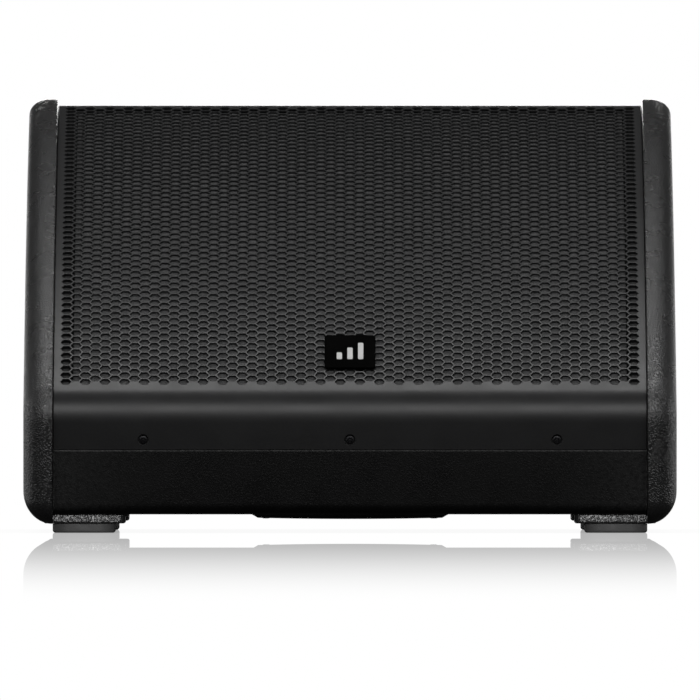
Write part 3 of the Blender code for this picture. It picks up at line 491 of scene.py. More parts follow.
def pebble_grain():
    """Moulded leather grain: rounded cells with creases between them."""
    group, start, end = new_pattern("pebble_grain")
    scale, vector = start.outputs["Scale"], start.outputs["Vector"]
    takes = {"Vector": vector, "Scale": scale, "Randomness": 1.0}
    cells = node(group, "ShaderNodeTexVoronoi", takes, feature="F1").outputs["Distance"]
    fine = noise(group, vector, maths(group, "MULTIPLY", scale, 1.3), 2.0)
    dome = ranged(group, cells, 0.1, 0.75, 1.0, 0.0)
    height = maths(group, "ADD", maths(group, "MULTIPLY", dome, 0.6), maths(group, "MULTIPLY", fine, 0.4))
    group.links.new(height, end.inputs["Height"])
    group.links.new(ranged(group, height, 0.2, 0.9), end.inputs["Shade"])
    return group


def sprayed_texture():
    """Catalysed spray paint: rounded droplets of mixed size over a fine orange peel."""
    group, start, end = new_pattern("sprayed_texture")
    scale, vector = start.outputs["Scale"], start.outputs["Vector"]
    drops = ranged(group, noise(group, vector, scale, 2.0, 0.5), 0.46, 0.66)
    small = ranged(group, noise(group, vector, maths(group, "MULTIPLY", scale, 2.7), 2.0), 0.45, 0.7)
    height = maths(group, "ADD", maths(group, "MULTIPLY", drops, 0.7), maths(group, "MULTIPLY", small, 0.3))
    group.links.new(height, end.inputs["Height"])
    group.links.new(height, end.inputs["Shade"])
    return group


def powder_coat():
    """Powder coating: a low orange peel with a few pin-sized nibs."""
    group, start, end = new_pattern("powder_coat")
    scale, vector = start.outputs["Scale"], start.outputs["Vector"]
    peel = noise(group, vector, scale, 2.0, 0.5)
    nibs = ranged(group, noise(group, vector, maths(group, "MULTIPLY", scale, 3.1), 1.0), 0.68, 0.78)
    height = maths(group, "ADD", maths(group, "MULTIPLY", peel, 0.8), maths(group, "MULTIPLY", nibs, 0.4))
    group.links.new(height, end.inputs["Height"])
    group.links.new(ranged(group, peel, 0.3, 0.7), end.inputs["Shade"])
    return group


def open_cells():
    """Reticulated foam: pores between thin strands."""
    group, start, end = new_pattern("open_cells")
    scale, vector = start.outputs["Scale"], start.outputs["Vector"]
    takes = {"Vector": vector, "Scale": scale, "Randomness": 1.0}
    walls = node(group, "ShaderNodeTexVoronoi", takes, feature="DISTANCE_TO_EDGE").outputs["Distance"]
    strands = ranged(group, walls, 0.02, 0.28, 1.0, 0.0)
    dust = noise(group, vector, maths(group, "MULTIPLY", scale, 0.4), 3.0)
    group.links.new(strands, end.inputs["Height"])
    group.links.new(
        maths(group, "MULTIPLY", strands, ranged(group, dust, 0.2, 0.7, 0.5, 1.0)), end.inputs["Shade"]
    )
    return group


def matted_fibres():
    """Fibres that cross each other, as in paper pulp or wadding."""
    group, start, end = new_pattern("matted_fibres")
    scale, vector = start.outputs["Scale"], start.outputs["Vector"]
    one = noise(group, stretched(group, vector, (1, 0.12, 0.5)), scale, 2.0, 0.6, 0.8)
    two = noise(group, stretched(group, vector, (0.14, 1, 0.7)), scale, 2.0, 0.6, 0.8)
    height = maths(group, "MAXIMUM", one, two)
    group.links.new(ranged(group, height, 0.4, 0.8), end.inputs["Height"])
    group.links.new(ranged(group, height, 0.35, 0.75), end.inputs["Shade"])
    return group


def drawn_lines():
    """Fine lines left by rolling, drawing or turning, running along X."""
    group, start, end = new_pattern("drawn_lines")
    scale, vector = start.outputs["Scale"], start.outputs["Vector"]
    lines = noise(group, stretched(group, vector, (0.02, 1, 1)), scale, 3.0, 0.65)
    group.links.new(lines, end.inputs["Height"])
    group.links.new(ranged(group, lines, 0.3, 0.7), end.inputs["Shade"])
    return group


def wound_turns():
    """Turns of wire laid side by side along Z."""
    group, start, end = new_pattern("wound_turns")
    takes = {"Vector": start.outputs["Vector"], "Scale": start.outputs["Scale"], "Distortion": 0.2}
    turns = node(group, "ShaderNodeTexWave", takes, bands_direction="Z").outputs["Fac"]
    group.links.new(turns, end.inputs["Height"])
    group.links.new(ranged(group, turns, 0.0, 0.5, 0.3, 1.0), end.inputs["Shade"])
    return group


def board_tracks():
    """Solder mask over copper tracks."""
    group, start, end = new_pattern("board_tracks")
    takes = {"Vector": start.outputs["Vector"], "Scale": start.outputs["Scale"]}
    cells = node(group, "ShaderNodeTexVoronoi", takes, distance="CHEBYCHEV", feature="F1").outputs["Distance"]
    tracks = ranged(group, maths(group, "PINGPONG", cells, 0.16), 0.05, 0.09)
    group.links.new(tracks, end.inputs["Height"])
    group.links.new(tracks, end.inputs["Shade"])
    return group


def handling():
    """Signs of use: broad patches where the gloss changes, and a few short scuffs."""
    takes = [("Vector", "Vector", None), ("Scale", "Float", 30.0)]
    group, start, end = new_group("handling", takes, [("Patches", "Float"), ("Scuffs", "Float")])
    scale, vector = start.outputs["Scale"], start.outputs["Vector"]
    patches = ranged(group, noise(group, vector, scale, 4.0, 0.6), 0.3, 0.7)
    long = noise(
        group, stretched(group, vector, (0.3, 1, 2)), maths(group, "MULTIPLY", scale, 9.0), 3.0, 0.7, 1.5
    )
    scuffs = maths(group, "MULTIPLY", ranged(group, long, 0.7, 0.78), ranged(group, patches, 0.55, 0.8))
    group.links.new(patches, end.inputs["Patches"])
    group.links.new(scuffs, end.inputs["Scuffs"])
    return group


def worn_edges():
    """Painted highlight along edges: lighter where the rounded normal leaves the true one, broken up by
    noise.
    """
    takes = [("Vector", "Vector", None), ("Radius", "Float", 0.0012)]
    group, start, end = new_group("worn_edges", takes, [("Edges", "Float")])
    rounded = node(group, "ShaderNodeBevel", {"Radius": start.outputs["Radius"]}, samples=4).outputs[0]
    true = node(group, "ShaderNodeNewGeometry").outputs["True Normal"]
    along = node(
        group, "ShaderNodeVectorMath", {0: rounded, 1: true}, operation="DOT_PRODUCT"
    ).outputs["Value"]
    highlight_breakup = ranged(group, noise(group, start.outputs["Vector"], 260.0, 3.0), 0.3, 0.62, 0.25, 1.0)
    group.links.new(maths(group, "MULTIPLY", ranged(group, along, 0.9985, 0.97), highlight_breakup), end.inputs["Edges"])
    return group


EFFECTS = (
    pebble_grain, sprayed_texture, powder_coat, open_cells, matted_fibres,
    drawn_lines, wound_turns, board_tracks, handling, worn_edges,
)


def effect_of(name):
    """The node group of that name, built the first time it is asked for."""
    builders = {builder.__name__: builder for builder in EFFECTS}
    return bpy.data.node_groups.get(name) or builders[name]()


# ---------------------------------------------------------------- finishes
# name: (colour, roughness, metallic, pattern, details per metre, relief in mm, shade contrast,
# patch contrast)

FINISHES = {
    "textured_paint": ("paint", 0.5, 0.0, "sprayed_texture", 700, 0.12, 0.4, 0.12),
    "moulded_plastic": ("plastic", 0.29, 0.0, "pebble_grain", 700, 0.38, 0.2, 0.08),
    "grille_coating": ("grille", 0.36, 0.0, "powder_coat", 900, 0.012, 0.12, 0.06),
    "acoustic_foam": ("foam", 0.95, 0.0, "open_cells", 900, 0.5, 0.85, 0.15),
    "rubber": ("rubber", 0.6, 0.0, "sprayed_texture", 1400, 0.02, 0.2, 0.15),
    "soft_rubber": ((0.016, 0.016, 0.016), 0.7, 0.0, "sprayed_texture", 2200, 0.015, 0.2, 0.1),
    "badge_face": ((0.0012, 0.0012, 0.0012), 0.6, 0.0, "powder_coat", 1500, 0.002, 0.1, 0.1),
    "print": ("print", 0.45, 0.0, "powder_coat", 2500, 0.004, 0.06, 0.04),
    "black_steel": ((0.022, 0.022, 0.024), 0.38, 0.7, "powder_coat", 2500, 0.008, 0.3, 0.2),
    "zinc_steel": ((0.5, 0.48, 0.42), 0.33, 1.0, "drawn_lines", 1800, 0.006, 0.25, 0.2),
    "cast_aluminium": ((0.03, 0.03, 0.031), 0.5, 0.2, "sprayed_texture", 700, 0.1, 0.25, 0.1),
    "paper_cone": ((0.018, 0.018, 0.018), 0.85, 0.0, "matted_fibres", 1100, 0.08, 0.45, 0.15),
    "spider_cloth": ((0.35, 0.2, 0.08), 0.8, 0.0, "matted_fibres", 2500, 0.06, 0.35, 0.15),
    "ferrite": ((0.035, 0.035, 0.038), 0.6, 0.0, "sprayed_texture", 2500, 0.02, 0.3, 0.2),
    "coil_winding": ((0.72, 0.36, 0.14), 0.32, 1.0, "wound_turns", 400, 0.08, 0.4, 0.1),
    "transformer_wire": ((0.62, 0.3, 0.12), 0.35, 1.0, "wound_turns", 220, 0.15, 0.4, 0.1),
    "plate_coating": ((0.0125, 0.0125, 0.013), 0.42, 0.0, "powder_coat", 1400, 0.02, 0.2, 0.08),
    "bare_aluminium": ((0.62, 0.62, 0.64), 0.34, 1.0, "drawn_lines", 2200, 0.008, 0.2, 0.15),
    "circuit_board": ((0.012, 0.11, 0.05), 0.4, 0.0, "board_tracks", 90, 0.04, 0.5, 0.1),
    "black_nylon": ((0.011, 0.011, 0.0115), 0.36, 0.0, "powder_coat", 1800, 0.01, 0.2, 0.12),
    "control_plastic": ((0.02, 0.02, 0.021), 0.42, 0.0, "sprayed_texture", 3000, 0.012, 0.2, 0.1),
    "display_glass": ((0.004, 0.006, 0.008), 0.06, 0.0, "powder_coat", 120, 0.002, 0.3, 0.25),
    "display_bars": ((0.03, 0.3, 0.22), 0.3, 0.0, "drawn_lines", 3000, 0.002, 0.2, 0.05),
    "wadding": ((0.62, 0.61, 0.58), 0.95, 0.0, "matted_fibres", 500, 0.6, 0.4, 0.15),
    "cable_jacket": ((0.016, 0.016, 0.017), 0.5, 0.0, "powder_coat", 1600, 0.01, 0.2, 0.1),
    "contact_metal": ((0.75, 0.62, 0.36), 0.24, 1.0, "drawn_lines", 2600, 0.004, 0.2, 0.15),
}
SPECULARS = {"textured_paint": 0.24, "moulded_plastic": 0.95, "badge_face": 0.01}
# painted highlight: the edges of these finishes are lightened towards this grey, standing for light caught by
# the edge
EDGE_HIGHLIGHT = {"textured_paint": 0.12}
SHEENS = {"acoustic_foam": 0.15, "wadding": 0.4, "spider_cloth": 0.2, "paper_cone": 0.1}
DRIVER_FINISHES = {"coil_winding", "paper_cone", "spider_cloth"}


def finish_of(name):
    """The material of that name: its pattern shades the base colour, roughens it and raises its surface."""
    label = f"{name}_finish"
    made = bpy.data.materials.get(label)
    if made:
        return made
    base, roughness, metallic, pattern, scale, relief, shade, patches = FINISHES[name]
    if isinstance(base, str):
        base = tuple(getattr(bpy.context.scene.wedge_colours, base))
    made = bpy.data.materials.new(label)
    made.use_nodes = True
    tree = made.node_tree
    shader = tree.nodes["Principled BSDF"]
    shader.inputs["Metallic"].default_value = metallic
    shader.inputs["Sheen Weight"].default_value = SHEENS.get(name, 0.0)
    shader.inputs["Specular IOR Level"].default_value = SPECULARS.get(name, 0.5)
    vector = node(tree, "ShaderNodeTexCoord").outputs["Object"]
    if name in DRIVER_FINISHES:
        takes = {"Vector": vector, "Rotation": (-BAFFLE_SLOPE, 0, 0)}
        vector = node(tree, "ShaderNodeMapping", takes, vector_type="POINT").outputs[0]
    grain = node(tree, "ShaderNodeGroup", node_tree=effect_of(pattern))
    wear = node(tree, "ShaderNodeGroup", node_tree=effect_of("handling"))
    tree.links.new(vector, grain.inputs["Vector"])
    tree.links.new(vector, wear.inputs["Vector"])
    grain.inputs["Scale"].default_value = scale

    # partly painted shade: the colour goes darker where the pattern's Shade is low, in the hollows of its
    # relief, and lighter on the crests
    dark, light = [tuple(c * (1 + k * shade) for c in base) + (1,) for k in (-1, 1)]
    takes = {"Factor": grain.outputs["Shade"], "A": dark, "B": light}
    shaded = mixed(tree, takes)
    takes = {
        "Factor": wear.outputs["Patches"], "A": shaded, "B": tuple(c * (1 + patches) for c in base) + (1,)
    }
    takes["Factor"] = maths(tree, "MULTIPLY", wear.outputs["Patches"], patches)
    worn = mixed(tree, takes)
    scuffed = tuple(min(c * 1.6 + 0.012, 1) for c in base) + (1,)
    takes = {"Factor": maths(tree, "MULTIPLY", wear.outputs["Scuffs"], 0.35), "A": worn, "B": scuffed}
    shown = mixed(tree, takes)
    # painted highlight: a lighter line along the edges, mixed into the base colour
    if name in EDGE_HIGHLIGHT:
        edges = node(
            tree, "ShaderNodeGroup", {"Vector": vector}, node_tree=effect_of("worn_edges")
        ).outputs["Edges"]
        shown = mixed(tree, {"Factor": edges, "A": shown, "B": (EDGE_HIGHLIGHT[name],) * 3 + (1,)})
    tree.links.new(shown, shader.inputs["Base Color"])
    spread = ranged(
        tree, wear.outputs["Patches"], 0.0, 1.0, roughness * (1 - patches), min(roughness * (1 + patches), 1)
    )
    tree.links.new(spread, shader.inputs["Roughness"])
    takes = {"Height": grain.outputs["Height"], "Strength": 1.0, "Distance": relief * MM}
    tree.links.new(node(tree, "ShaderNodeBump", takes).outputs[0], shader.inputs["Normal"])
    return made


def mixed(tree, takes):
    """A colour mix, with its colour sockets found by name and kind."""
    mix = node(tree, "ShaderNodeMix", data_type="RGBA")
    sockets = {"Factor": mix.inputs[0], "A": mix.inputs[6], "B": mix.inputs[7]}
    for name, value in takes.items():
        if isinstance(value, bpy.types.NodeSocket):
            tree.links.new(value, sockets[name])
        else:
            sockets[name].default_value = value
    return mix.outputs[2]


# ---------------------------------------------------------------- grille


def skin(along, inset):
    """(depth, height) of the grille's section at an arc length from the start of its long curve, moved in by
    an inset: a straight lip below, two circles and a corner, and a straight flange down the back."""
    along = np.asarray(along, float)
    quarter = math.pi / 2
    bend = quarter + SLOPE_FRONT - along / BEND_RADIUS
    curve = quarter + SLOPE_FRONT - along / CURVE_RADIUS
    past = along - CURVE_LENGTH
    corner = quarter + SLOPE_BACK - past / CORNER_RADIUS
    spans = [along < -BEND_LENGTH, along < 0, along < CURVE_LENGTH, past < CORNER_LENGTH]
    depth = np.select(
        spans,
        [
            0 * along + inset,
            BEND_RADIUS + (BEND_RADIUS - inset) * np.cos(bend),
            CURVE_CENTRE[0] + (CURVE_RADIUS - inset) * np.cos(curve),
            CORNER_CENTRE[0] + (CORNER_RADIUS - inset) * np.cos(corner),
        ],
        CORNER_CENTRE[0] + CORNER_RADIUS - inset,
    )
    height = np.select(
        spans,
        [
            BEND_HEIGHT + BEND_LENGTH + along,
            BEND_HEIGHT + (BEND_RADIUS - inset) * np.sin(bend),
            CURVE_CENTRE[1] + (CURVE_RADIUS - inset) * np.sin(curve),
            CORNER_CENTRE[1] + (CORNER_RADIUS - inset) * np.sin(corner),
        ],
        CORNER_CENTRE[1] - (past - CORNER_LENGTH),
    )
    return depth, height


def on_skin(flat, inset):
    """Layout points (x, arc length) put on the grille's skin."""
    return place(flat[:, 0], *skin(flat[:, 1], inset))


LIP_SCREWS = (-174, 0, 174)
LIP_SCREW_HEIGHT = 78.2
LIP_HOLE = 4.7
HALF_COLUMNS = 29
FIRST_HOLE = 10.1
HOLES_IN_COLUMN = 56
GRILLE_HALF = 249.5


def honeycomb(pitch, hole):
    """The perforated field laid out flat. Every cell is a hexagon of the pitch with a hexagonal hole, and the
    quads join each side of the cell to the same side of its hole. Odd columns start half a pitch lower."""
    radius = pitch / math.sqrt(3)
    angle = np.arange(6) * math.pi / 3
    corner = np.stack([np.cos(angle), np.sin(angle)], -1)
    columns = np.arange(-HALF_COLUMNS, HALF_COLUMNS + 1)
    rows = np.arange(HOLES_IN_COLUMN)
    column, row = np.meshgrid(columns, rows, indexing="ij")
    even = column % 2 == 0
    keep = ~(even & (row == HOLES_IN_COLUMN - 1))
    middle = np.stack([column * 1.5 * radius, FIRST_HOLE + row * pitch + even * pitch / 2], -1)[keep]
    cell = middle[:, None] + corner * radius
    inner = middle[:, None] + corner * radius * hole / pitch
    points = np.concatenate([cell, inner], 1)
    side = np.arange(6)
    quad = np.stack([side, (side + 1) % 6, (side + 1) % 6 + 6, side + 6], -1)
    faces = quad[None] + np.arange(len(middle))[:, None, None] * 12
    return points.reshape(-1, 2), faces.reshape(-1, 4)


def border_strips(pitch):
    """The plain sheet round the honeycomb, laid out flat: quads from its zigzag edges to straight lines. The
    rows below and above follow the bends, and the lip and the back flange are made apart with their holes."""
    radius = pitch / math.sqrt(3)
    odd = np.arange(-HALF_COLUMNS, HALF_COLUMNS + 1, 2)
    steps = np.array([-0.5, 0.5, 1.0, 2.0]) * radius
    x = (odd[:, None] * 1.5 * radius + steps).ravel()[:-2]
    low = np.tile([-pitch / 2, -pitch / 2, 0, 0], len(odd))[:-2] + FIRST_HOLE
    top_odd = FIRST_HOLE + (HOLES_IN_COLUMN - 1) * pitch
    high = np.tile([pitch / 2, pitch / 2, 0, 0], len(odd))[:-2] + top_odd
    x = np.concatenate([[-GRILLE_HALF], x, [GRILLE_HALF]])
    low = np.concatenate([low[:1], low, low[-1:]])
    high = np.concatenate([high[:1], high, high[-1:]])

    below = np.concatenate([np.linspace(-BEND_LENGTH, 0, 13)])
    corner = np.linspace(CURVE_LENGTH, CURVE_LENGTH + CORNER_LENGTH, 11)
    rows = [np.broadcast_to(s, x.shape) for s in below] + [low]
    bottom = np.stack([np.broadcast_to(x, (len(rows), len(x))), np.array(rows)], -1)
    rows = [high] + [np.broadcast_to(s, x.shape) for s in corner]
    top = np.stack([np.broadcast_to(x, (len(rows), len(x))), np.array(rows)], -1)

    zigzag = FIRST_HOLE - pitch / 2 + np.arange(2 * HOLES_IN_COLUMN + 1) * pitch / 2
    edge = HALF_COLUMNS * 1.5 * radius + np.where(np.arange(len(zigzag)) % 2, 1.0, 0.5) * radius
    right = np.stack([np.stack([edge, 0 * edge + GRILLE_HALF]), np.stack([zigzag, zigzag])], -1)
    left = right * [-1, 1]
    return x, [grid(part) for part in (bottom, top, left, right)]


def flat_end(x, start, end, holes):
    """The lip or the back flange, laid out flat between a line with a point at each x and a straight edge."""
    outline = np.concatenate([
        np.stack([x, np.full_like(x, start)], -1),
        [[GRILLE_HALF, end], [-GRILLE_HALF, end]],
    ])
    return pierced(outline, holes)


def grille_layout(sizes):
    """The whole sheet flattened: honeycomb, plain strips, lip with screw holes and back flange."""
    lip_low = -BEND_LENGTH - LIP_LENGTH
    screw = lip_low + LIP_SCREW_HEIGHT - LIP_BOTTOM
    flange_low = CURVE_LENGTH + CORNER_LENGTH
    x, strips = border_strips(sizes.hole_pitch)
    holes = [arc((place_x, screw), LIP_HOLE, 0, 2 * math.pi, 20)[:-1] for place_x in LIP_SCREWS]
    parts = [honeycomb(sizes.hole_pitch, sizes.hole_size)]
    parts += strips
    parts.append(flat_end(x, -BEND_LENGTH, lip_low, holes))
    parts.append(flat_end(x, flange_low, flange_low + FLANGE_LENGTH, []))
    points, quads, triangles, count = [], [], [], 0
    for where, faces in parts:
        where = where.reshape(-1, 2)
        points.append(where)
        (quads if faces.shape[1] == 4 else triangles).append(faces + count)
        count += len(where)
    points = np.concatenate(points)
    _, first, same = np.unique(np.round(points, 3), axis=0, return_index=True, return_inverse=True)
    same = same.reshape(-1)
    return points[first], same[np.concatenate(quads)], same[np.concatenate(triangles)]


def sheet_of(points, quads, triangles, lift, layers):
    """A flat layout of quads and triangles given thickness. Each layer is (inset from the face, how far its
    edges are pulled in), lift puts points at an inset, and walls join the layers at every edge."""
    def turned_right(faces):
        a, b, c = points[faces[:, 0]], points[faces[:, 1]], points[faces[:, 2]]
        return np.where((np.cross(b - a, c - a) < 0)[:, None], faces[:, ::-1], faces)

    quads, triangles = turned_right(quads), turned_right(triangles)
    border, pull = edge_pull(points, quads, triangles)
    count = len(points)
    shell = np.concatenate([lift(points + pull * back, inset) for inset, back in layers])
    last = (len(layers) - 1) * count
    walls = []
    for layer in range(len(layers) - 1):
        a, b = border[:, 0] + layer * count, border[:, 1] + layer * count
        walls.append(np.stack([b, a, a + count, b + count], -1))
    parts = (quads, triangles, quads[:, ::-1] + last, triangles[:, ::-1] + last, np.concatenate(walls))
    return shell, [part for part in parts if len(part)]


def edge_pull(points, quads, triangles):
    """The border edges that one face only uses, each in that face's direction, and the way into the material
    at every point: the sum of the two edges' inward normals, scaled so that a pull moves each edge evenly."""
    sides = np.concatenate([
        np.stack(
            [faces, np.roll(faces, -1, 1)], -1
        ).reshape(-1, 2) for faces in (quads, triangles) if len(faces)
    ])
    _, first, counts = np.unique(np.sort(sides, 1), axis=0, return_index=True, return_counts=True)
    border = sides[first[counts == 1]]
    along = points[border[:, 1]] - points[border[:, 0]]
    along /= np.maximum(np.linalg.norm(along, axis=1, keepdims=True), 1e-9)
    inward = np.stack([-along[:, 1], along[:, 0]], -1)
    pull = np.zeros_like(points)
    for end in (0, 1):
        np.add.at(pull, border[:, end], inward)
    length = (pull**2).sum(1, keepdims=True)
    return border, np.where(length > 0.3, 2 * pull / np.maximum(length, 0.3), 0)


FLAT = 22  # smoothing angle of flat boards and panels, under their chamfer's first bend


def shell_surfaces(shell, faces):
    """Surfaces that share one set of points."""
    return [(shell, faces[0])] + [(shell[:0], part - len(shell)) for part in faces[1:]]


def shell_piece(name, shell, faces, finish, **options):
    return piece(name, shell_surfaces(shell, faces), finish, **options)


class WEDGE_OT_grille(Operator):
    """Steel grille with its hexagonal holes, bent lip and back flange"""

    bl_idname = "wedge.grille"
    bl_label = "Grille"

    def execute(self, context):
        sizes = context.scene.wedge_sizes
        points, quads, triangles = grille_layout(sizes)
        edge = sizes.hole_edge
        layers = [(0, edge), (edge, 0), (sizes.sheet, 0)]
        shell, faces = sheet_of(points, quads, triangles, on_skin, layers)
        shell_piece(
            "grille_sheet", shell, faces, "grille_coating", replaces=["grille"], slot="grille_steel",
            smooth=28
        )
        cups, heads = [], []
        for x in LIP_SCREWS:
            place_of = facing_front(x, LIP_SCREW_HEIGHT)
            cup = soften([(LIP_HOLE - 0.05, -0.35), (LIP_HOLE - 0.6, -0.8), (3.9, -2.3), (0, -2.4)], 0.5, 3)
            cups.append(turned(cup, place_of, 40))
            heads.append(screw_head(3.7, 1.5, facing_front(x, LIP_SCREW_HEIGHT, 2.2), socket=0.5))
        piece("lip_screw_cups", cups, "grille_coating", slot="grille_steel", smooth=60)
        piece(
            "lip_screws", heads, "black_steel", slot="screw_steel",
            replaces=["grille_screw_left", "grille_screw_middle", "grille_screw_right"],
        )
        flange = [facing_back(x, 345, CORNER_CENTRE[0] + CORNER_RADIUS) for x in (-232, -116, 0, 116, 232)]
        piece(
            "flange_screws", [screw_head(4.2, 1.9, where) for where in flange], "black_steel",
            slot="screw_steel"
        )
        return {"FINISHED"}


class WEDGE_OT_foam(Operator):
    """Acoustic foam that lies under the grille's curve"""

    bl_idname = "wedge.foam"
    bl_label = "Grille foam"

    def execute(self, context):
        along = np.linspace(6, CURVE_LENGTH - 16, 150)
        half, thick = 233, 5
        across = np.linspace(-half, half, 130)
        x, s = np.meshgrid(across, along)
        edge = np.minimum(half - np.abs(x), 8) / 8
        swell = 0.5 * np.sin(x * 0.083 + 1.3 * np.sin(s * 0.031)) * np.sin(s * 0.067 + 0.8)
        inset = 2.0 + 0.2 * swell + 1.1 * (1 - np.sqrt(np.clip(edge, 0, 1)))
        top = place(x, *skin(s, inset))
        under = place(x, *skin(s, 1.8 + thick))
        ring = np.concatenate([top, under[:, ::-1]], 1)
        ends = [np.repeat(row.mean(0)[None], len(row), 0) for row in (ring[0], ring[-1])]
        made = piece(
            "foam_layer", [grid(np.array([ends[0], *ring, ends[1]]), wrap=True)], "acoustic_foam",
            replaces=["grille_foam"], slot="foam", smooth=50,
        )
        return {"FINISHED"}


class WEDGE_OT_badge(Operator):
    """Black badge on the grille with three plain level bars"""

    bl_idname = "wedge.badge"
    bl_label = "Badge"

    def execute(self, context):
        depth = 56
        lean = math.asin((CURVE_CENTRE[0] - depth) / CURVE_RADIUS)
        height = CURVE_CENTRE[1] + CURVE_RADIUS * math.cos(lean)
        where = set_at(0, depth, height, lean)
        levels = np.concatenate([pillow(0.25, 2, 0.2, 0.7, 4)[:-1], [[2.0, 0.7], [1.8, 1.4], [1.8, 2.0]]])
        piece(
            "badge_plate", [block(43, 48, 3.2, levels, where)], "badge_face", replaces=["badge"],
            slot="badge_plastic"
        )
        bars = []
        for x, tall in ((-9, 10), (0, 17), (9, 24)):
            spot = where @ Matrix.Translation(Vector((x, (tall - 24) / 2, 1.75)) * MM)
            bars.append(block(4.6, tall, 1.2, pillow(0, 0.5, 0.1, 0.2, 2), spot, 3))
        piece("badge_bars", bars, "print", slot="badge_plastic")
        return {"FINISHED"}


# ---------------------------------------------------------------- cabinet boards


class WEDGE_OT_boards(Operator):
    """Painted plywood boards of the cabinet"""

    bl_idname = "wedge.boards"
    bl_label = "Cabinet boards"

    def execute(self, context):
        edge = context.scene.wedge_sizes.board_edge
        half, base_top, front_inside = 249.7, 30.6, 17.5
        toe = arc((8.5, 24.6), 9, 1.5 * math.pi, math.pi, 8)
        brow = arc((0.5, 68.7), 1.0, math.pi, math.pi / 2, 6)
        front = np.concatenate(
            [toe, brow, [(1.8, 69.7), (1.8, 91.3), (5.5, 105.3), (17.5, 105.3), (17.5, 15.6)]]
        )
        surface = board(front, -half, half, 0.5)
        piece(
            "front_board", [surface], "textured_paint", replaces=["front_panel"], slot="textured_paint",
            smooth=50
        )
        top = CORNER_CENTRE[1] + 1

        def upright(flat, inset):
            return place(flat[:, 0], BACK_FACE - inset, flat[:, 1])

        rear_outline = np.array([(-half, base_top + 0.3), (half, base_top + 0.3), (half, top), (-half, top)])
        opening = outline_of(226, 176, 8, 5) + [0, 195]
        points, triangles = pierced(rear_outline, [opening])
        layers = [(0, edge), (edge * 0.3, edge * 0.3), (edge, 0), (15, 0)]
        shell, faces = sheet_of(points, triangles[:0].reshape(0, 4), triangles, upright, layers)
        shell_piece(
            "rear_board", shell, faces, "textured_paint", replaces=[
                "rear_panel"
            ], slot="textured_paint", smooth=FLAT
        )

        def level(flat, inset):
            return place(flat[:, 0], flat[:, 1], 15.6 + inset)

        outline = np.array(
            [(-half, front_inside + 0.3), (half, front_inside + 0.3), (half, BACK_FACE), (-half, BACK_FACE)]
        )
        points, triangles = pierced(outline, [outline_of(130, 82, 3, 3) + [0, 215]])
        shell, faces = sheet_of(points, triangles[:0].reshape(0, 4), triangles, level, layers)
        shell_piece(
            "base_board", shell, faces, "textured_paint", replaces=[
                "base_panel"
            ], slot="textured_paint", smooth=FLAT
        )
        refinish("textured_paint", "left_side_panel", "right_side_panel", "baffle_board")
        return {"FINISHED"}


# ---------------------------------------------------------------- end cheeks


def cheek_outline(inset):
    """The cheek's silhouette moved in by an inset for each point, as (depth, height): lower front corner,
    bend, long curve, upper back corner, lower back corner. Corners are circles that shrink with the inset."""
    low, bend, curve, top, back = np.split(
        np.broadcast_to(inset, sum(CHEEK_STEPS)), np.cumsum(CHEEK_STEPS)[:-1]
    )
    proud, quarter = -CHEEK_FRONT, math.pi / 2

    def swing(centre, radius, angle):
        return np.stack([centre[0] + radius * np.cos(angle), centre[1] + radius * np.sin(angle)], -1)

    def shares(part):
        return np.linspace(0, 1, len(part))

    corner = np.maximum(CHEEK_CORNER - low, 3)
    middle = (CHEEK_FRONT + low + corner, CHEEK_BOTTOM + low + corner)
    front = swing(middle, corner, 3 * quarter - quarter * shares(low))
    reach = BEND_RADIUS + proud - bend
    knee = swing((BEND_RADIUS, BEND_HEIGHT), reach, 2 * quarter - (quarter - SLOPE_FRONT) * shares(bend))

    def top_corner(part):
        corner = np.maximum(CHEEK_TOP_CORNER - part, 3)
        centre = CHEEK_BACK - part - corner
        reach = CURVE_RADIUS + proud - part
        return corner, centre, reach, np.arcsin((CURVE_CENTRE[0] - centre) / (reach - corner))

    _, _, reach, lean = top_corner(curve)
    share = np.linspace(0, 1, len(curve) + 1)[1:]
    long = swing(CURVE_CENTRE, reach, quarter + SLOPE_FRONT + (lean - SLOPE_FRONT) * share)
    corner, centre, reach, lean = top_corner(top)
    share = np.linspace(0, 1, len(top) + 1)[1:]
    over = swing(
        (centre, CURVE_CENTRE[1] + (reach - corner) * np.cos(lean)), corner, (quarter + lean) * (1 - share)
    )
    corner = np.maximum(CHEEK_CORNER - back, 3)
    middle = (CHEEK_BACK - back - corner, CHEEK_BOTTOM + back + corner)
    heel = swing(middle, corner, -quarter * shares(back))
    return np.concatenate([front, knee, long, over, heel])


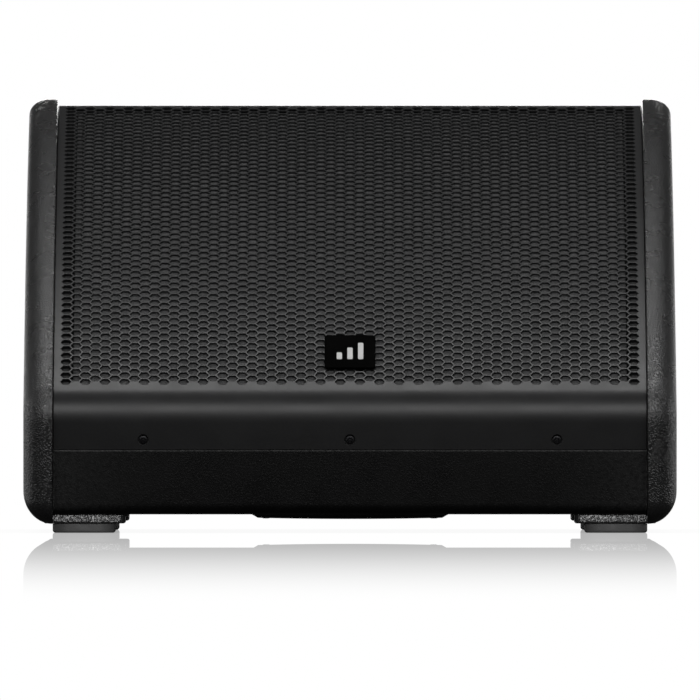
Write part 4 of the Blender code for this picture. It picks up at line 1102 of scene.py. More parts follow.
def cheek_surfaces(side):
    """The cheek's skin: its silhouette carried outwards over an elliptical rounding, where at the angle a the
    loop lies w - w0 + w0 sin a out and t (1 - cos a) in. A margin, a step and a flat field follow."""
    height = cheek_outline(0)[:, 1]
    share = (height - CHEEK_BOTTOM) / (CHEEK_TOP - CHEEK_BOTTOM)
    wide = ROUNDING_LOW[0] + (ROUNDING_HIGH[0] - ROUNDING_LOW[0]) * share
    tall = ROUNDING_LOW[1] + (ROUNDING_HIGH[1] - ROUNDING_LOW[1]) * share
    loops = [(0.05, cheek_outline(4.0)), (0.05, cheek_outline(1.4))]
    for angle in np.linspace(0.15, 1, 5) * math.pi / 2:
        loops.append(
            (1.4 * (1 - math.cos(angle)) if angle < 1.5 else 1.4, cheek_outline(1.4 * (1 - math.sin(angle))))
        )
    for angle in np.linspace(0, 1, 15)[0:] * math.pi / 2:
        loops.append(
            (CHEEK_THICK - wide + wide * math.sin(angle), cheek_outline(tall * (1 - math.cos(angle))))
        )
    step = [(0, 5.5), (-0.1, 6.4), (-0.5, 7.1), (-1.0, 7.7), (-1.4, 8.5), (-1.5, 9.5), (-1.5, 10.5)]
    loops += [(CHEEK_THICK + sink, cheek_outline(tall + margin)) for sink, margin in step]
    rows = [place(side * (250 + across), loop[:, 0], loop[:, 1]) for across, loop in loops]
    skin_rows = grid(np.array(rows), wrap=True)
    face_x = 250 + CHEEK_THICK - 1.5
    holes = [arc(spot, 6.6, 0, 2 * math.pi, 28)[:-1] for spot in CHEEK_SCREWS]
    flat, triangles = pierced(loops[-1][1], holes)
    field = (place(side * face_x, flat[:, 0], flat[:, 1]), triangles)
    inner = loops[0][1]
    centre = inner.mean(0)
    back = np.array([rows[0], np.broadcast_to(place(side * 250.05, *centre), rows[0].shape)])
    wells = []
    for depth, height in CHEEK_SCREWS:
        well = soften([(6.6, 0), (6.1, -0.6), (6.0, -15.4), (2.8, -15.4), (0, -15.4)], 0.5, 3)
        wells.append(turned(well, facing_side(side, depth, height, face_x), 28))
    return [skin_rows, field, grid(back, wrap=True), *wells]


class WEDGE_OT_cheeks(Operator):
    """Moulded end cheeks with their foot pads and screws"""

    bl_idname = "wedge.cheeks"
    bl_label = "End cheeks"

    def execute(self, context):
        for name, side in (("left", -1), ("right", 1)):
            surfaces = cheek_surfaces(side)
            replaced = [f"{name}_end_cheek"]
            piece(
                f"{name}_cheek", surfaces, "moulded_plastic", replaces=replaced, slot="moulded_plastic",
                smooth=32
            )
            heads = [
                screw_head(4.6, 2.6, facing_side(side, depth, height, 260.5), dome=0.3)
                for depth, height in CHEEK_SCREWS
            ]
            piece(f"{name}_cheek_screws", heads, "black_steel", slot="screw_steel")
            levels = pillow(7.9, 15.3, 1.8, 0.3, 4)
            pads = [
                block(69, 70, 6, levels, set_at(side * 223.5, depth, 0)) for depth in FOOT_DEPTHS.values()
            ]
            piece(f"{name}_foot_pads", pads, "moulded_plastic", slot="moulded_plastic")
        return {"FINISHED"}


class WEDGE_OT_feet(Operator):
    """Rubber feet with a rounded tread, a screw recess and its washer"""

    bl_idname = "wedge.feet"
    bl_label = "Feet"

    def execute(self, context):
        corner = context.scene.wedge_sizes.foot_corner
        for where, depth in FOOT_DEPTHS.items():
            for side_name, side in (("left", -1), ("right", 1)):
                name = f"{where}_{side_name}_foot"
                spot = set_at(side * FOOT_OUT, depth, 0)
                edge = pillow(0, 7.6, 2.2, 0.35, 5)
                outside = block(53, 53, corner, edge, spot, 8, capped=False)
                sole = [(0, 2.2), (0, 10), (0.35, 11), (0.35, 12.2), (0, 13.2), (0, 16)]
                tread = block(53, 53, corner, sole, spot, 8, capped=False)
                loop = outline_of(21, 21, 0.15 + corner - 15.15, 8)
                ring = np.stack([np.column_stack([loop, 0 * loop[:, 0]]), circle_like(loop, 7.6)])
                well = soften([(7.6, 0), (7, 0.4), (7, 3.5), (0, 3.5)], 0.4, 3)
                lid = np.column_stack([outline_of(52.3, 52.3, corner - 0.35, 8), np.full(36, 7.6)])
                top = np.stack([lid, lid * [0, 0, 1]])
                ground, cover = [grid(moved(part, spot), wrap=True) for part in (ring, top)]
                surfaces = [outside, tread, ground, turned(well, spot, 36), cover]
                piece(f"{name}_rubber", surfaces, "rubber", replaces=[name], slot="rubber", smooth=50)
                down = facing_down(side * FOOT_OUT, depth, 3.0)
                washer = soft_ring([(3, -0.4), (6.6, -0.4), (6.6, 0.5), (3, 0.5)], 0.2, 2)
                head = screw_head(4.2, 2.0, down)
                piece(f"{name}_screw", [head, turned(washer, down, 28)], "zinc_steel", slot="screw_steel")
        return {"FINISHED"}


def circle_like(loop, radius):
    """The points of a loop, pushed out or in to lie on a circle."""
    length = np.linalg.norm(loop, axis=1, keepdims=True)
    return np.column_stack([loop / length * radius, 0 * length])


# ---------------------------------------------------------------- hand-hold


class WEDGE_OT_hand_hold(Operator):
    """Moulded cup in the base with its crowned flange, and the rubber grip across it"""

    bl_idname = "wedge.hand_hold"
    bl_label = "Hand-hold"

    def execute(self, context):
        middle = 215
        half, low, top, edge = 84, 78, 15.3, 11.9
        rise = np.concatenate([[-half], np.linspace(-low, low, 41), [half]])

        def crowned(x):
            """The flange's underside: level at its ends, and elsewhere lower by 1 - (x / low)^2."""
            return np.where(np.abs(x) > low, top, edge - (1 - (x / low) ** 2))

        opening = outline_of(122, 74, 6, 6) + [0, middle]
        rim = outline_of(132, 84, 11, 6) + [0, middle]
        outline = np.concatenate([
            np.stack([rise, 0 * rise + 156], -1), np.stack([rise[::-1], 0 * rise + 274], -1),
        ])
        flat, triangles = pierced(outline, [rim])
        flange = (place(flat[:, 0], flat[:, 1], crowned(flat[:, 0])), triangles)

        levels = []
        for share in np.linspace(0, 1, 7):
            angle = share * math.pi / 2
            loop = rim + (opening - rim) * math.sin(angle)
            levels.append(place(loop[:, 0], loop[:, 1], crowned(loop[:, 0]) + 5 * (1 - math.cos(angle))))
        for z, inset in ((30, 0.4), (50, 1.0), (53.5, 2.0), (54.8, 4.2), (55, 8)):
            loop = outline_of(122 - 2 * inset, 74 - 2 * inset, 6 + inset * 0.8, 6) + [0, middle]
            levels.append(place(loop[:, 0], loop[:, 1], z))
        levels.append(levels[-1] * 0 + place(0, middle, 55))
        cup = grid(np.array(levels), wrap=True)
        x, depth = outline.T
        skirt = np.stack([place(x, depth, crowned(x)), place(x, depth, top)])
        outer = block(128, 80, 4, pillow(15.3, 58, 0.2, 3, 3), set_at(0, middle, 0), capped=True)
        piece(
            "hand_hold_cup", [flange, cup, grid(skirt, wrap=True), outer], "moulded_plastic",
            replaces=["handle_cup"], slot="moulded_plastic", smooth=50,
        )
        sections = []
        for x in np.linspace(-60.7, 60.7, 98):
            rib = 0.35 * (1 - math.cos(x / 121.4 * 2 * math.pi * 16)) * (abs(x) < 53)
            loop = outline_of(28 - rib, 16.4 - rib, 6.8, 5)
            sections.append(place(x, middle + loop[:, 0], 20.8 + loop[:, 1]))
        ends = [place(x, middle, 20.8) + 0 * sections[0] for x in (-60.7, 60.7)]
        grip = grid(np.array([ends[0], *sections, ends[1]]), wrap=True)
        piece("hand_hold_grip", [grip], "rubber", replaces=["handle_grip"], slot="rubber", smooth=50)
        heads = [screw_head(3.6, 1.3, facing_down(x, middle + y, 12.4)) for x in (-71, 71) for y in (-48, 48)]
        piece("hand_hold_screws", heads, "black_steel", slot="screw_steel")
        return {"FINISHED"}


# ---------------------------------------------------------------- amplifier panel
# Heights here are measured outwards from the fittings' plane, and shapes are (x, height above the floor).


def ring(x, z, radius, steps=36):
    return arc((x, z), radius, 0, 2 * math.pi, steps)[:-1]


def frame_shape(centre, width, length, corner, steps=5):
    return outline_of(width, length, corner, steps) + centre


def panel_shape(outline, holes, low, high, edge=0.4):
    """A flat shape with holes that stands between two heights, with its front edges rounded."""
    points, triangles = pierced(outline, holes)

    def lift(flat, inset):
        return place(flat[:, 0], FRONT_OF_PLATE + high - inset, flat[:, 1])

    layers = [(0, edge), (0.3 * edge, 0.3 * edge), (edge, 0), (high - low, 0)]
    shell, faces = sheet_of(points, triangles[:0].reshape(0, 4), triangles, lift, layers)
    return shell_surfaces(shell, faces)


def panel_block(centre, width, length, corner, low, high, edge=0.5, steps=5):
    return block(width, length, corner, pillow(low, high, 0.1, edge, 3), facing_back(*centre), steps)


def screws_at(spots, height, radius=2.7, rise=1.5):
    return [screw_head(radius, rise, facing_back(x, z, FRONT_OF_PLATE + height)) for x, z in spots]


def printed(outline, holes=()):
    """A printed mark: a thin shape on the plate's face."""
    return panel_shape(np.asarray(outline, float), holes, -0.34, -0.22, 0.01)


def printed_line(centre, width, length, corner, line=0.55):
    inner = frame_shape(centre, width - 2 * line, length - 2 * line, corner - line)
    return printed(frame_shape(centre, width, length, corner), [inner])


def scale_marks(centre, inner, outer, count):
    """Radial ticks over 300 degrees round a knob, the first and the last thicker."""
    marks = []
    for i, angle in enumerate(np.radians(np.linspace(-150, 150, count))):
        out = np.array([math.sin(angle), math.cos(angle)])
        across = np.array([out[1], -out[0]]) * (0.55 if i in (0, count - 1) else 0.28)
        corners = [inner * out - across, inner * out + across, outer * out + across, outer * out - across]
        marks += printed(np.array(corners) + centre)
    return marks


class WEDGE_OT_plate(Operator):
    """Coated amplifier plate with its openings, screws and printed marks"""

    bl_idname = "wedge.plate"
    bl_label = "Amplifier plate"

    def execute(self, context):
        holes = [frame_shape(DISPLAY, 68, 38, 1.0), frame_shape(POWER_INLET, 28.6, 46.6, 1.5)]
        holes.append(frame_shape(POWER_SWITCH, 20.6, 28.6, 1.0))
        holes += [frame_shape(spot, 9, 6, 1.2) for spot in BUTTONS]
        holes += [ring(*spot, 3.9) for spot in (*LEVEL_KNOBS, MENU_KNOB)]
        holes += [ring(*spot, 12.1) for spot in (*INPUT_JACKS, LINK_SOCKET)]
        surfaces = panel_shape(frame_shape((0, 195), 250, 200, 4), holes, -2.3, -0.3, 0.5)
        piece(
            "plate_panel", surfaces, "plate_coating", replaces=["amp_plate"], slot="plate_aluminium",
            smooth=FLAT
        )
        spots = [(x, z) for x in (-119, 119) for z in (101, 163, 227, 289)]
        spots += [(x, z) for x in (-40, 40) for z in (101, 289)]
        washer = soft_ring([(0.5, -0.3), (4.6, -0.3), (4.6, 0.3), (0.5, 0.3)], 0.15, 2)
        washers = [turned(washer, facing_back(*spot), 32) for spot in spots]
        piece("plate_screws", washers + screws_at(spots, 0.25, 3.4, 1.9), "black_steel", slot="screw_steel")

        marks = []
        for spot in LEVEL_KNOBS:
            marks += scale_marks(spot, 9.4, 11.6, 11)
        marks += printed(ring(*MENU_KNOB, 13.8, 48), [ring(*MENU_KNOB, 13.3, 48)])
        groups = [
            ((56, 142), 94, 47, 4), (LINK_SOCKET, 38, 47, 4), ((54, 199.5), 124, 52, 4),
            ((61, 262), 112, 48, 4), ((-92, 187.5), 48, 146, 5),
        ]
        for centre, width, length, corner in groups:
            marks += printed_line(centre, width, length, corner)
        for x, z in INPUT_JACKS + LEVEL_KNOBS:
            arrow = [(x - 2, z + 20.2), (x + 2, z + 20.2), (x, z + 17.4)]
            marks += printed(arrow if z < 200 else ring(x, z + 15.2, 1.1, 16))
        x, z = LINK_SOCKET
        marks += printed([(x - 2, z + 18.6), (x + 2, z + 18.6), (x, z + 21.4)])
        for x, z in BUTTONS:
            marks += printed(frame_shape((x - 8.5, z), 3.2, 0.6, 0.25, 2))
        x = POWER_SWITCH[0]
        bolt = [
            (x + 1, 208), (x - 3.2, 201.6), (x - 0.4, 201.6), (x - 1.4, 196.6), (x + 3, 203.4),
            (x + 0.2, 203.4)
        ]
        marks += printed(bolt)
        piece("panel_marks", marks, "print", slot="plate_aluminium")
        refinish("bare_aluminium", "heat_sink")
        return {"FINISHED"}


def socket_surfaces(centre, floor):
    """A socket's square flange with its round mouth, and its barrel turned with the floor inside."""
    x, z = centre
    surfaces = panel_shape(frame_shape((x, z + 0.5), 26, 31, 3.6), [ring(x, z, 9.2, 48)], 0, 5, 0.7)
    bore = [(3.3, floor), (3.3, -27), (0, -27)] if floor > -8 else [(0, floor)]
    barrel = [(0, -30), (11.7, -30), (11.7, 0.02), (9.2, 0.02), (9.2, floor)] + bore
    surfaces.append(turned(soften(barrel, 0.5, 3), facing_back(x, z), 48))
    return surfaces


class WEDGE_OT_sockets(Operator):
    """Two combination inputs with their sprung latches, and a three-pin link output"""

    bl_idname = "wedge.sockets"
    bl_label = "Sockets"

    def execute(self, context):
        screws, contacts = [], []
        sleeve = soft_ring([(0.7, -6.4), (1.5, -6.4), (1.5, -5.7), (0.7, -5.7)], 0.15, 2)
        tip_ring = soft_ring([(2.9, -8), (3.6, -8), (3.6, -5.6), (2.9, -5.6)], 0.2, 2)
        for i, (spot, body) in enumerate(zip(INPUT_JACKS, ("latch_left", "latch_right")), 1):
            x, z = spot
            piece(
                f"input_socket_{i}", socket_surfaces(spot, -6), "black_nylon",
                replaces=[f"input_jack_{i}"], slot="gloss_plastic", smooth=FLAT,
            )
            tab = block(6.4, 3.4, 0.8, pillow(3.4, 7.4, 0.2, 0.9, 4), facing_back(x, z + 12.7), 4)
            ridges = [
                panel_block((x, z + 12.7 + y), 4.6, 0.4, 0.15, 7.2, 7.6, 0.1, 2) for y in (-0.8, 0, 0.8)
            ]
            latch = [tab, *ridges]
            piece(
                f"socket_latch_{i}", latch, "zinc_steel", body=body, replaces=[f"jack_latch_{i}"],
                slot="bare_aluminium"
            )
            for angle in np.radians([90, 210, 330]):
                where = facing_back(x + 6.3 * math.cos(angle), z + 6.3 * math.sin(angle))
                contacts.append(turned(sleeve, where, 20))
            contacts.append(turned(tip_ring, facing_back(x, z), 32))
            screws += [(x - 9.8, z + 12.9), (x + 9.8, z - 12)]
        x, z = LINK_SOCKET
        key = block(3, 1.8, 0.4, pillow(-10, 3.6, 0.1, 0.4, 2), facing_back(x, z + 8.6), 3)
        piece(
            "link_output", [*socket_surfaces(LINK_SOCKET, -11), key], "black_nylon",
            replaces=["link_socket"], slot="gloss_plastic", smooth=FLAT,
        )
        pin = soften([(0, -12), (1.2, -12), (1.2, -1.1), (0.5, -0.4), (0, -0.35)], 0.4, 3)
        for angle in np.radians([90, 210, 330]):
            contacts.append(turned(pin, facing_back(x + 5 * math.cos(angle), z + 5 * math.sin(angle)), 20))
        screws += [(x - 9.8, z + 12.9), (x + 9.8, z - 12)]
        piece("socket_contacts", contacts, "contact_metal", slot="plated_steel")
        piece("socket_screws", screws_at(screws, 4.9), "black_steel", slot="screw_steel")
        return {"FINISHED"}


class WEDGE_OT_controls(Operator):
    """Fluted knobs, rubber push buttons, and the display with plain level bars"""

    bl_idname = "wedge.controls"
    bl_label = "Controls"

    def execute(self, context):
        knobs = [
            (LEVEL_KNOBS[0], "level_knob_left", "level_knob_1", 7.5, 15),
            (LEVEL_KNOBS[1], "level_knob_right", "level_knob_2", 7.5, 15),
            (MENU_KNOB, "menu_encoder", "menu_knob", 11, 24),
        ]
        for spot, body, node_name, radius, flutes in knobs:
            shape = [
                (0, -10.6), (3, -10.6), (3, 0.3), (radius - 0.6, 0.3), (radius, 1), (radius, 1.6),
                (radius - 0.1, 1.8), (radius - 0.3, 7.4), (radius - 1, 8.4), (radius - 2.2, 8.4),
                (radius - 3, 8.1), (0, 8.0),
            ]
            grip = turned(soften(shape, 0.45, 3), facing_back(*spot), flutes * 8, flutes, 0.55, (1.7, 8.2))
            piece(
                f"{body}_grip", [grip], "control_plastic", body=body, replaces=[node_name],
                slot="gloss_plastic", smooth=45
            )
            if body != "menu_encoder":
                where = facing_back(spot[0], spot[1] + radius / 2 - 0.2)
                line = block(0.9, radius - 1.4, 0.3, pillow(8.0, 8.5, 0.05, 0.12, 2), where, 3)
                piece(f"{body}_pointer", [line], "print", body=body, slot="gloss_plastic")
        for i, (spot, body) in enumerate(zip(BUTTONS, ("button_top", "button_middle", "button_bottom")), 1):
            cap = block(8, 5, 1.1, pillow(-4.3, 1.5, 0.1, 0.9, 5), facing_back(*spot), 5)
            flange = panel_block(spot, 10.4, 7.4, 1.4, -5.3, -2.65, 0.3)
            piece(
                f"{body}_cap", [cap, flange], "soft_rubber", body=body, replaces=[f"menu_button_{i}"],
                slot="rubber"
            )
        pane = panel_block(DISPLAY, 67.4, 37.4, 0.9, -3.8, 0.1, 0.3)
        piece("display_pane", [pane], "display_glass", replaces=["display_window"], slot="display_glass")
        x, z = DISPLAY
        bars = []
        for row, lit in enumerate((15, 11, 13, 7)):
            for step in range(lit):
                spot = (x - 24 + step * 3.4, z + 10.5 - row * 7)
                bars.append(panel_block(spot, 2.4, 3.6, 0.3, 0.06, 0.14, 0.02, 2))
        piece("display_levels", bars, "display_bars", slot="display_glass")
        return {"FINISHED"}


class WEDGE_OT_mains(Operator):
    """Three-blade mains inlet with its fuse drawer, and the rocker switch in its frame"""

    bl_idname = "wedge.mains"
    bl_label = "Mains inlet and switch"

    def execute(self, context):
        x, z = POWER_INLET
        mouth = np.array([(-12, -8.5), (12, -8.5), (12, 3.5), (7.5, 8.5), (-7.5, 8.5), (-12, 3.5)])
        mouth = soft_ring(mouth, 1.2, 3)[:-1] + [x, z - 10.5]
        slot = frame_shape((x, z + 11), 22.6, 10.6, 0.6)
        surfaces = panel_shape(frame_shape(POWER_INLET, 32, 50, 2.5), [mouth, slot], 0, 3, 0.8)
        surfaces += panel_shape(frame_shape(POWER_INLET, 28, 46, 1.5), [mouth, slot], -17.1, 0.02, 0.01)
        surfaces.append(panel_block(POWER_INLET, 28, 46, 1.5, -23, -17.0, 0.1))
        surfaces.append(panel_block((x, z - 10.5), 24.6, 17.6, 1, -17.1, -14, 0.1))
        piece(
            "mains_inlet", surfaces, "black_nylon", replaces=["power_inlet"], slot="gloss_plastic",
            smooth=FLAT
        )
        blades = [
            block(2, 4, 0.5, pillow(-15, -2.2, 0.1, 0.6, 3), facing_back(x + across, z + up), 3)
            for across, up in ((-7, -12.5), (7, -12.5), (0, -8.5))
        ]
        piece("inlet_blades", blades, "contact_metal", slot="plated_steel")
        tray = panel_block((x, z + 11), 22, 10, 0.7, -16, 4.1, 0.5)
        ridge = panel_block((x, z + 13.6), 12, 1.6, 0.6, 3.8, 4.5, 0.4)
        piece(
            "fuse_holder", [tray, ridge], "control_plastic", body="fuse_tray", replaces=["fuse_drawer"],
            slot="gloss_plastic"
        )

        hollow = frame_shape(POWER_SWITCH, 16.6, 25.2, 0.8)
        surfaces = panel_shape(frame_shape(POWER_SWITCH, 24, 32, 2), [hollow], 0, 3, 0.8)
        surfaces += panel_shape(frame_shape(POWER_SWITCH, 20, 28, 1), [hollow], -11.1, 0.02, 0.01)
        surfaces.append(panel_block(POWER_SWITCH, 20, 28, 1, -19, -11, 0.1))
        piece(
            "switch_bezel", surfaces, "black_nylon", replaces=["switch_frame"], slot="gloss_plastic",
            smooth=FLAT
        )
        self.make_rocker()
        return {"FINISHED"}

    def make_rocker(self):
        """The rocker's section: its face is a shallow parabola, out = 1.6 + 1.6 (up / 11.5)^2."""
        tilt = math.radians(8)

        def on_rocker(across, out, up):
            depth = FRONT_OF_PLATE + 1.5 + out * math.cos(tilt) + up * math.sin(tilt)
            return place(
                POWER_SWITCH[0] + across, depth, POWER_SWITCH[1] - out * math.sin(tilt) + up * math.cos(tilt)
            )

        def face(up):
            return 1.6 + 1.6 * (up / 11.5) ** 2

        up = np.linspace(-11.2, 11.2, 25)
        section = np.concatenate(
            [np.stack([face(up), up], -1), [(2.7, 11.4), (-6, 8), (-6, -8), (2.7, -11.4)]]
        )
        loops = []
        for across, inset in pillow(-8, 8, 0.5, 0.5, 3):
            loop = inset_outline(section, inset)
            loops.append(on_rocker(across, loop[:, 0], loop[:, 1]))
        ends = [on_rocker(across, -1, 0) + 0 * loops[0] for across in (-8, 8)]
        rocker = [grid(np.array([ends[0], *loops, ends[1]]), wrap=True)]
        piece(
            "switch_rocker", rocker, "black_nylon", body="rocker", replaces=["power_rocker"],
            slot="gloss_plastic"
        )
        bar = outline_of(0.9, 4.4, 0.3, 3) + [0, 6.2]
        marks = []
        for outer, inner in ((bar, bar * 0 + bar.mean(0)), (ring(0, -6.2, 2.3), ring(0, -6.2, 1.6))):
            rows = [
                on_rocker(loop[:, 0], face(loop[:, 1]) + rise, loop[:, 1])
                for loop, rise in ((inner, -0.2), (outer, -0.2), (outer, 0.06), (inner, 0.06), (inner, -0.2))
            ]
            marks.append(grid(np.array(rows), wrap=True))
        piece("rocker_marks", marks, "print", body="rocker", slot="gloss_plastic")


# ---------------------------------------------------------------- inside the cabinet

# Turned pieces of the driver, as (radius, height above the baffle) about its axis:
# name: (solid it stands for, body, finish, slot, edge rounding, profile)
COIL, CONE = 38, "cone_and_coil"
DRIVER_PIECES = {
    "gasket_ring": (
        "driver_gasket", CABINET, "soft_rubber", "rubber", 0.4,
        [(143, 0.3), (154, 0.3), (154, 2.3), (143, 2.3)]
    ),
    "motor_top_plate": (
        "top_plate", CABINET, "zinc_steel", "plated_steel", 0.8,
        [(40.2, -88), (75, -88), (75, -80), (40.2, -80)]
    ),
    "ring_magnet": (
        "ferrite_magnet", CABINET, "ferrite", "ferrite", 1.2,
        [(48, -110), (79, -110), (79, -88.3), (48, -88.3)]
    ),
    "motor_back_plate": (
        "pole_piece", CABINET, "zinc_steel", "plated_steel", 1.0,
        [(12.7, -120), (75, -120), (75, -110.3), (36.2, -110.3), (36.2, -79), (16.5, -79)],
    ),
    "horn_flare": (
        "hf_horn", CABINET, "control_plastic", "gloss_plastic", 1.6,
        [
            (17, -78.7), (24, -78.7), (24, -72), (21, -68), (35, -34), (35, -32), (33.5, -32), (25, -48),
            (19.5, -68)
        ],
    ),
    "horn_front_plate": (
        "hf_front_plate", CABINET, "zinc_steel", "plated_steel", 0.8,
        [(12.7, -127), (44, -127), (44, -120.3), (12.7, -120.3)]
    ),
    "horn_magnet": (
        "hf_magnet", CABINET, "ferrite", "ferrite", 1.0, [(27, -141), (47, -141), (47, -127.3), (27, -127.3)]
    ),
    "horn_rear_cap": (
        "hf_rear_cover", CABINET, "black_nylon", "gloss_plastic", 0.6,
        [
            (27.2, -143.4), (24, -143.4), (24, -152.5), (0, -152.5), (0, -156), (30, -156), (46, -150),
            (46, -141.3), (27.2, -141.3)
        ],
    ),
}


def radial_weights(made, matrix, outer, inner):
    """Writes how far each point follows the second body: 0 at the outer radius, 1 at the inner one, eased by
    3 t^2 - 2 t^3."""
    mesh = made.data
    points = np.empty(len(mesh.vertices) * 3, np.float32)
    mesh.vertices.foreach_get("co", points)
    back = np.array(matrix.inverted())
    local = points.reshape(-1, 3) @ back[:3, :3].T + back[:3, 3]
    radius = np.hypot(local[:, 0], local[:, 1]) / MM
    share = np.clip((outer - radius) / (outer - inner), 0, 1)
    weights = (share**2 * (3 - 2 * share)).astype(np.float32)
    mesh.attributes["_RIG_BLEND"].data.foreach_set("value", weights)


class WEDGE_OT_driver(Operator):
    """Coaxial driver: basket, cone with its surround, spider and coil, motor, and the horn's own driver"""

    bl_idname = "wedge.driver"
    bl_label = "Driver"

    def execute(self, context):
        frame_of = on_baffle(DRIVER_ALONG)
        for name, (solid, body, finish, slot, edge, profile) in DRIVER_PIECES.items():
            closed = soften(profile, edge, 3) if profile[0][0] == 0 else soft_ring(profile, edge, 3)
            piece(
                name, [turned(closed, frame_of, 96)], finish, body=body, replaces=[solid], slot=slot,
                smooth=40
            )
        refinish("cast_aluminium", "driver_basket")
        bolts = [
            screw_head(
                4.4, 2.6,
                frame_of @ Matrix.Rotation(
                    math.radians(45 * i + 22.5), 4, "Z"
                ) @ Matrix.Translation((0, 0.147, 0.0075))
            )
            for i in range(8)
        ]
        piece("basket_bolts", bolts, "zinc_steel", slot="plated_steel")
        self.make_cone(frame_of)
        self.make_suspension(frame_of)
        self.make_horn_parts(frame_of)
        return {"FINISHED"}

    def make_cone(self, frame_of):
        """The cone's face rises as s^0.8 from its neck to its rim, with three pressed rings of 0.5 mm."""
        share = np.linspace(0, 1, 60)
        radius = COIL + 0.7 + (121 - COIL - 0.7) * share
        rings = sum(np.exp(-(((radius - middle) / 1.6) ** 2)) for middle in (64, 82, 100))
        height = -46 + 53 * share**0.8 - 0.5 * rings
        front, back = np.stack([radius, height], -1), np.stack([radius, height - 1.8], -1)
        loop = np.concatenate([front, back[::-1], front[:1]])
        piece(
            "cone_paper", [turned(loop, frame_of, 128)], "paper_cone", body=CONE, replaces=["woofer_cone"],
            slot="paper_cone"
        )
        turns, steps = 20, 5
        along = np.linspace(-94, -78, turns * steps + 1)
        wire = np.stack([39.05 + 0.15 * np.abs(np.sin((along + 94) * math.pi * turns / 16)), along], -1)
        coil = np.concatenate([[(37.4, -94)], wire, [(37.4, -78), (37.4, -94)]])
        former = soft_ring([(37.4, -77.9), (38.4, -77.9), (38.4, -44), (37.4, -44)], 0.2, 2)
        piece(
            "coil_turns", [turned(coil, frame_of, 96)], "coil_winding", body=CONE, replaces=["voice_coil"],
            slot="coil_winding"
        )
        piece("coil_former", [turned(former, frame_of, 96)], "spider_cloth", body=CONE, slot="paper_cone")

    def make_suspension(self, frame_of):
        """The surround is a half roll of radius 6.2 between two lands. The spider is a cosine wave of 1.5 mm
        with a 13 mm pitch, which ends in a flat glued land."""
        over = arc((128, 8.4), 6.2, math.pi, 0, 20)
        under = arc((128, 8.4), 5.2, 0, math.pi, 20)
        roll = [(117, 8.4), *over, (143, 8.4), (143, 7.7), *under, (117, 7.4), (117, 8.4)]
        surround = piece(
            "cone_roll", [
                turned(roll, frame_of, 128)
            ], "rubber", body=None, replaces=["cone_surround"], slot="rubber", smooth=50
        )
        radius = np.linspace(39, 65, 53)
        wave = -67.5 + 1.5 * np.cos(math.pi * (radius - 39) / 6.5)
        top = np.concatenate(
            [np.stack([radius, wave], -1), [(66.2, -68.5), (67.2, -72.5), (68.4, -75.0), (71.5, -75.2)]]
        )
        sheet = np.concatenate([top, top[::-1] - [0, 0.9], top[:1]])
        spider = piece(
            "spider_ring", [
                turned(sheet, frame_of, 96)
            ], "spider_cloth", body=None, replaces=["spider"], slot="paper_cone", smooth=50
        )
        for made, outer, inner in ((surround, 134.2, 121.8), (spider, 66, 39.5)):
            hub = frame_of.translation
            rim = frame_of @ Vector((outer * MM, 0, 0))
            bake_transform(made, CABINET, CONE, tuple(rim), tuple(hub))
            radial_weights(made, frame_of, outer, inner)

    def make_horn_parts(self, frame_of):
        plug = soften(
            [(0, -148.4), (9, -147), (16, -143.4), (17, -141.5), (10, -138), (4, -128), (0, -122)], 2.5, 5
        )
        collar = soft_ring([(14, -142.6), (26.7, -142.6), (26.7, -140.5), (14, -140.5)], 0.3, 2)
        surfaces = [turned(plug, frame_of, 64), turned(collar, frame_of, 64)]
        piece("phase_plug", surfaces, "black_nylon", replaces=["hf_phase_plug"], slot="gloss_plastic")
        over = soften([(0, -149.4), (9, -148), (16.6, -144.4), (18.6, -143.9)], 3, 6)
        dome = np.concatenate([over, over[::-1] - [0, 1.2]])
        piece(
            "horn_dome", [turned(dome, frame_of, 64)], "bare_aluminium", body="horn_diaphragm",
            replaces=["hf_diaphragm"], slot="bare_aluminium", smooth=60,
        )


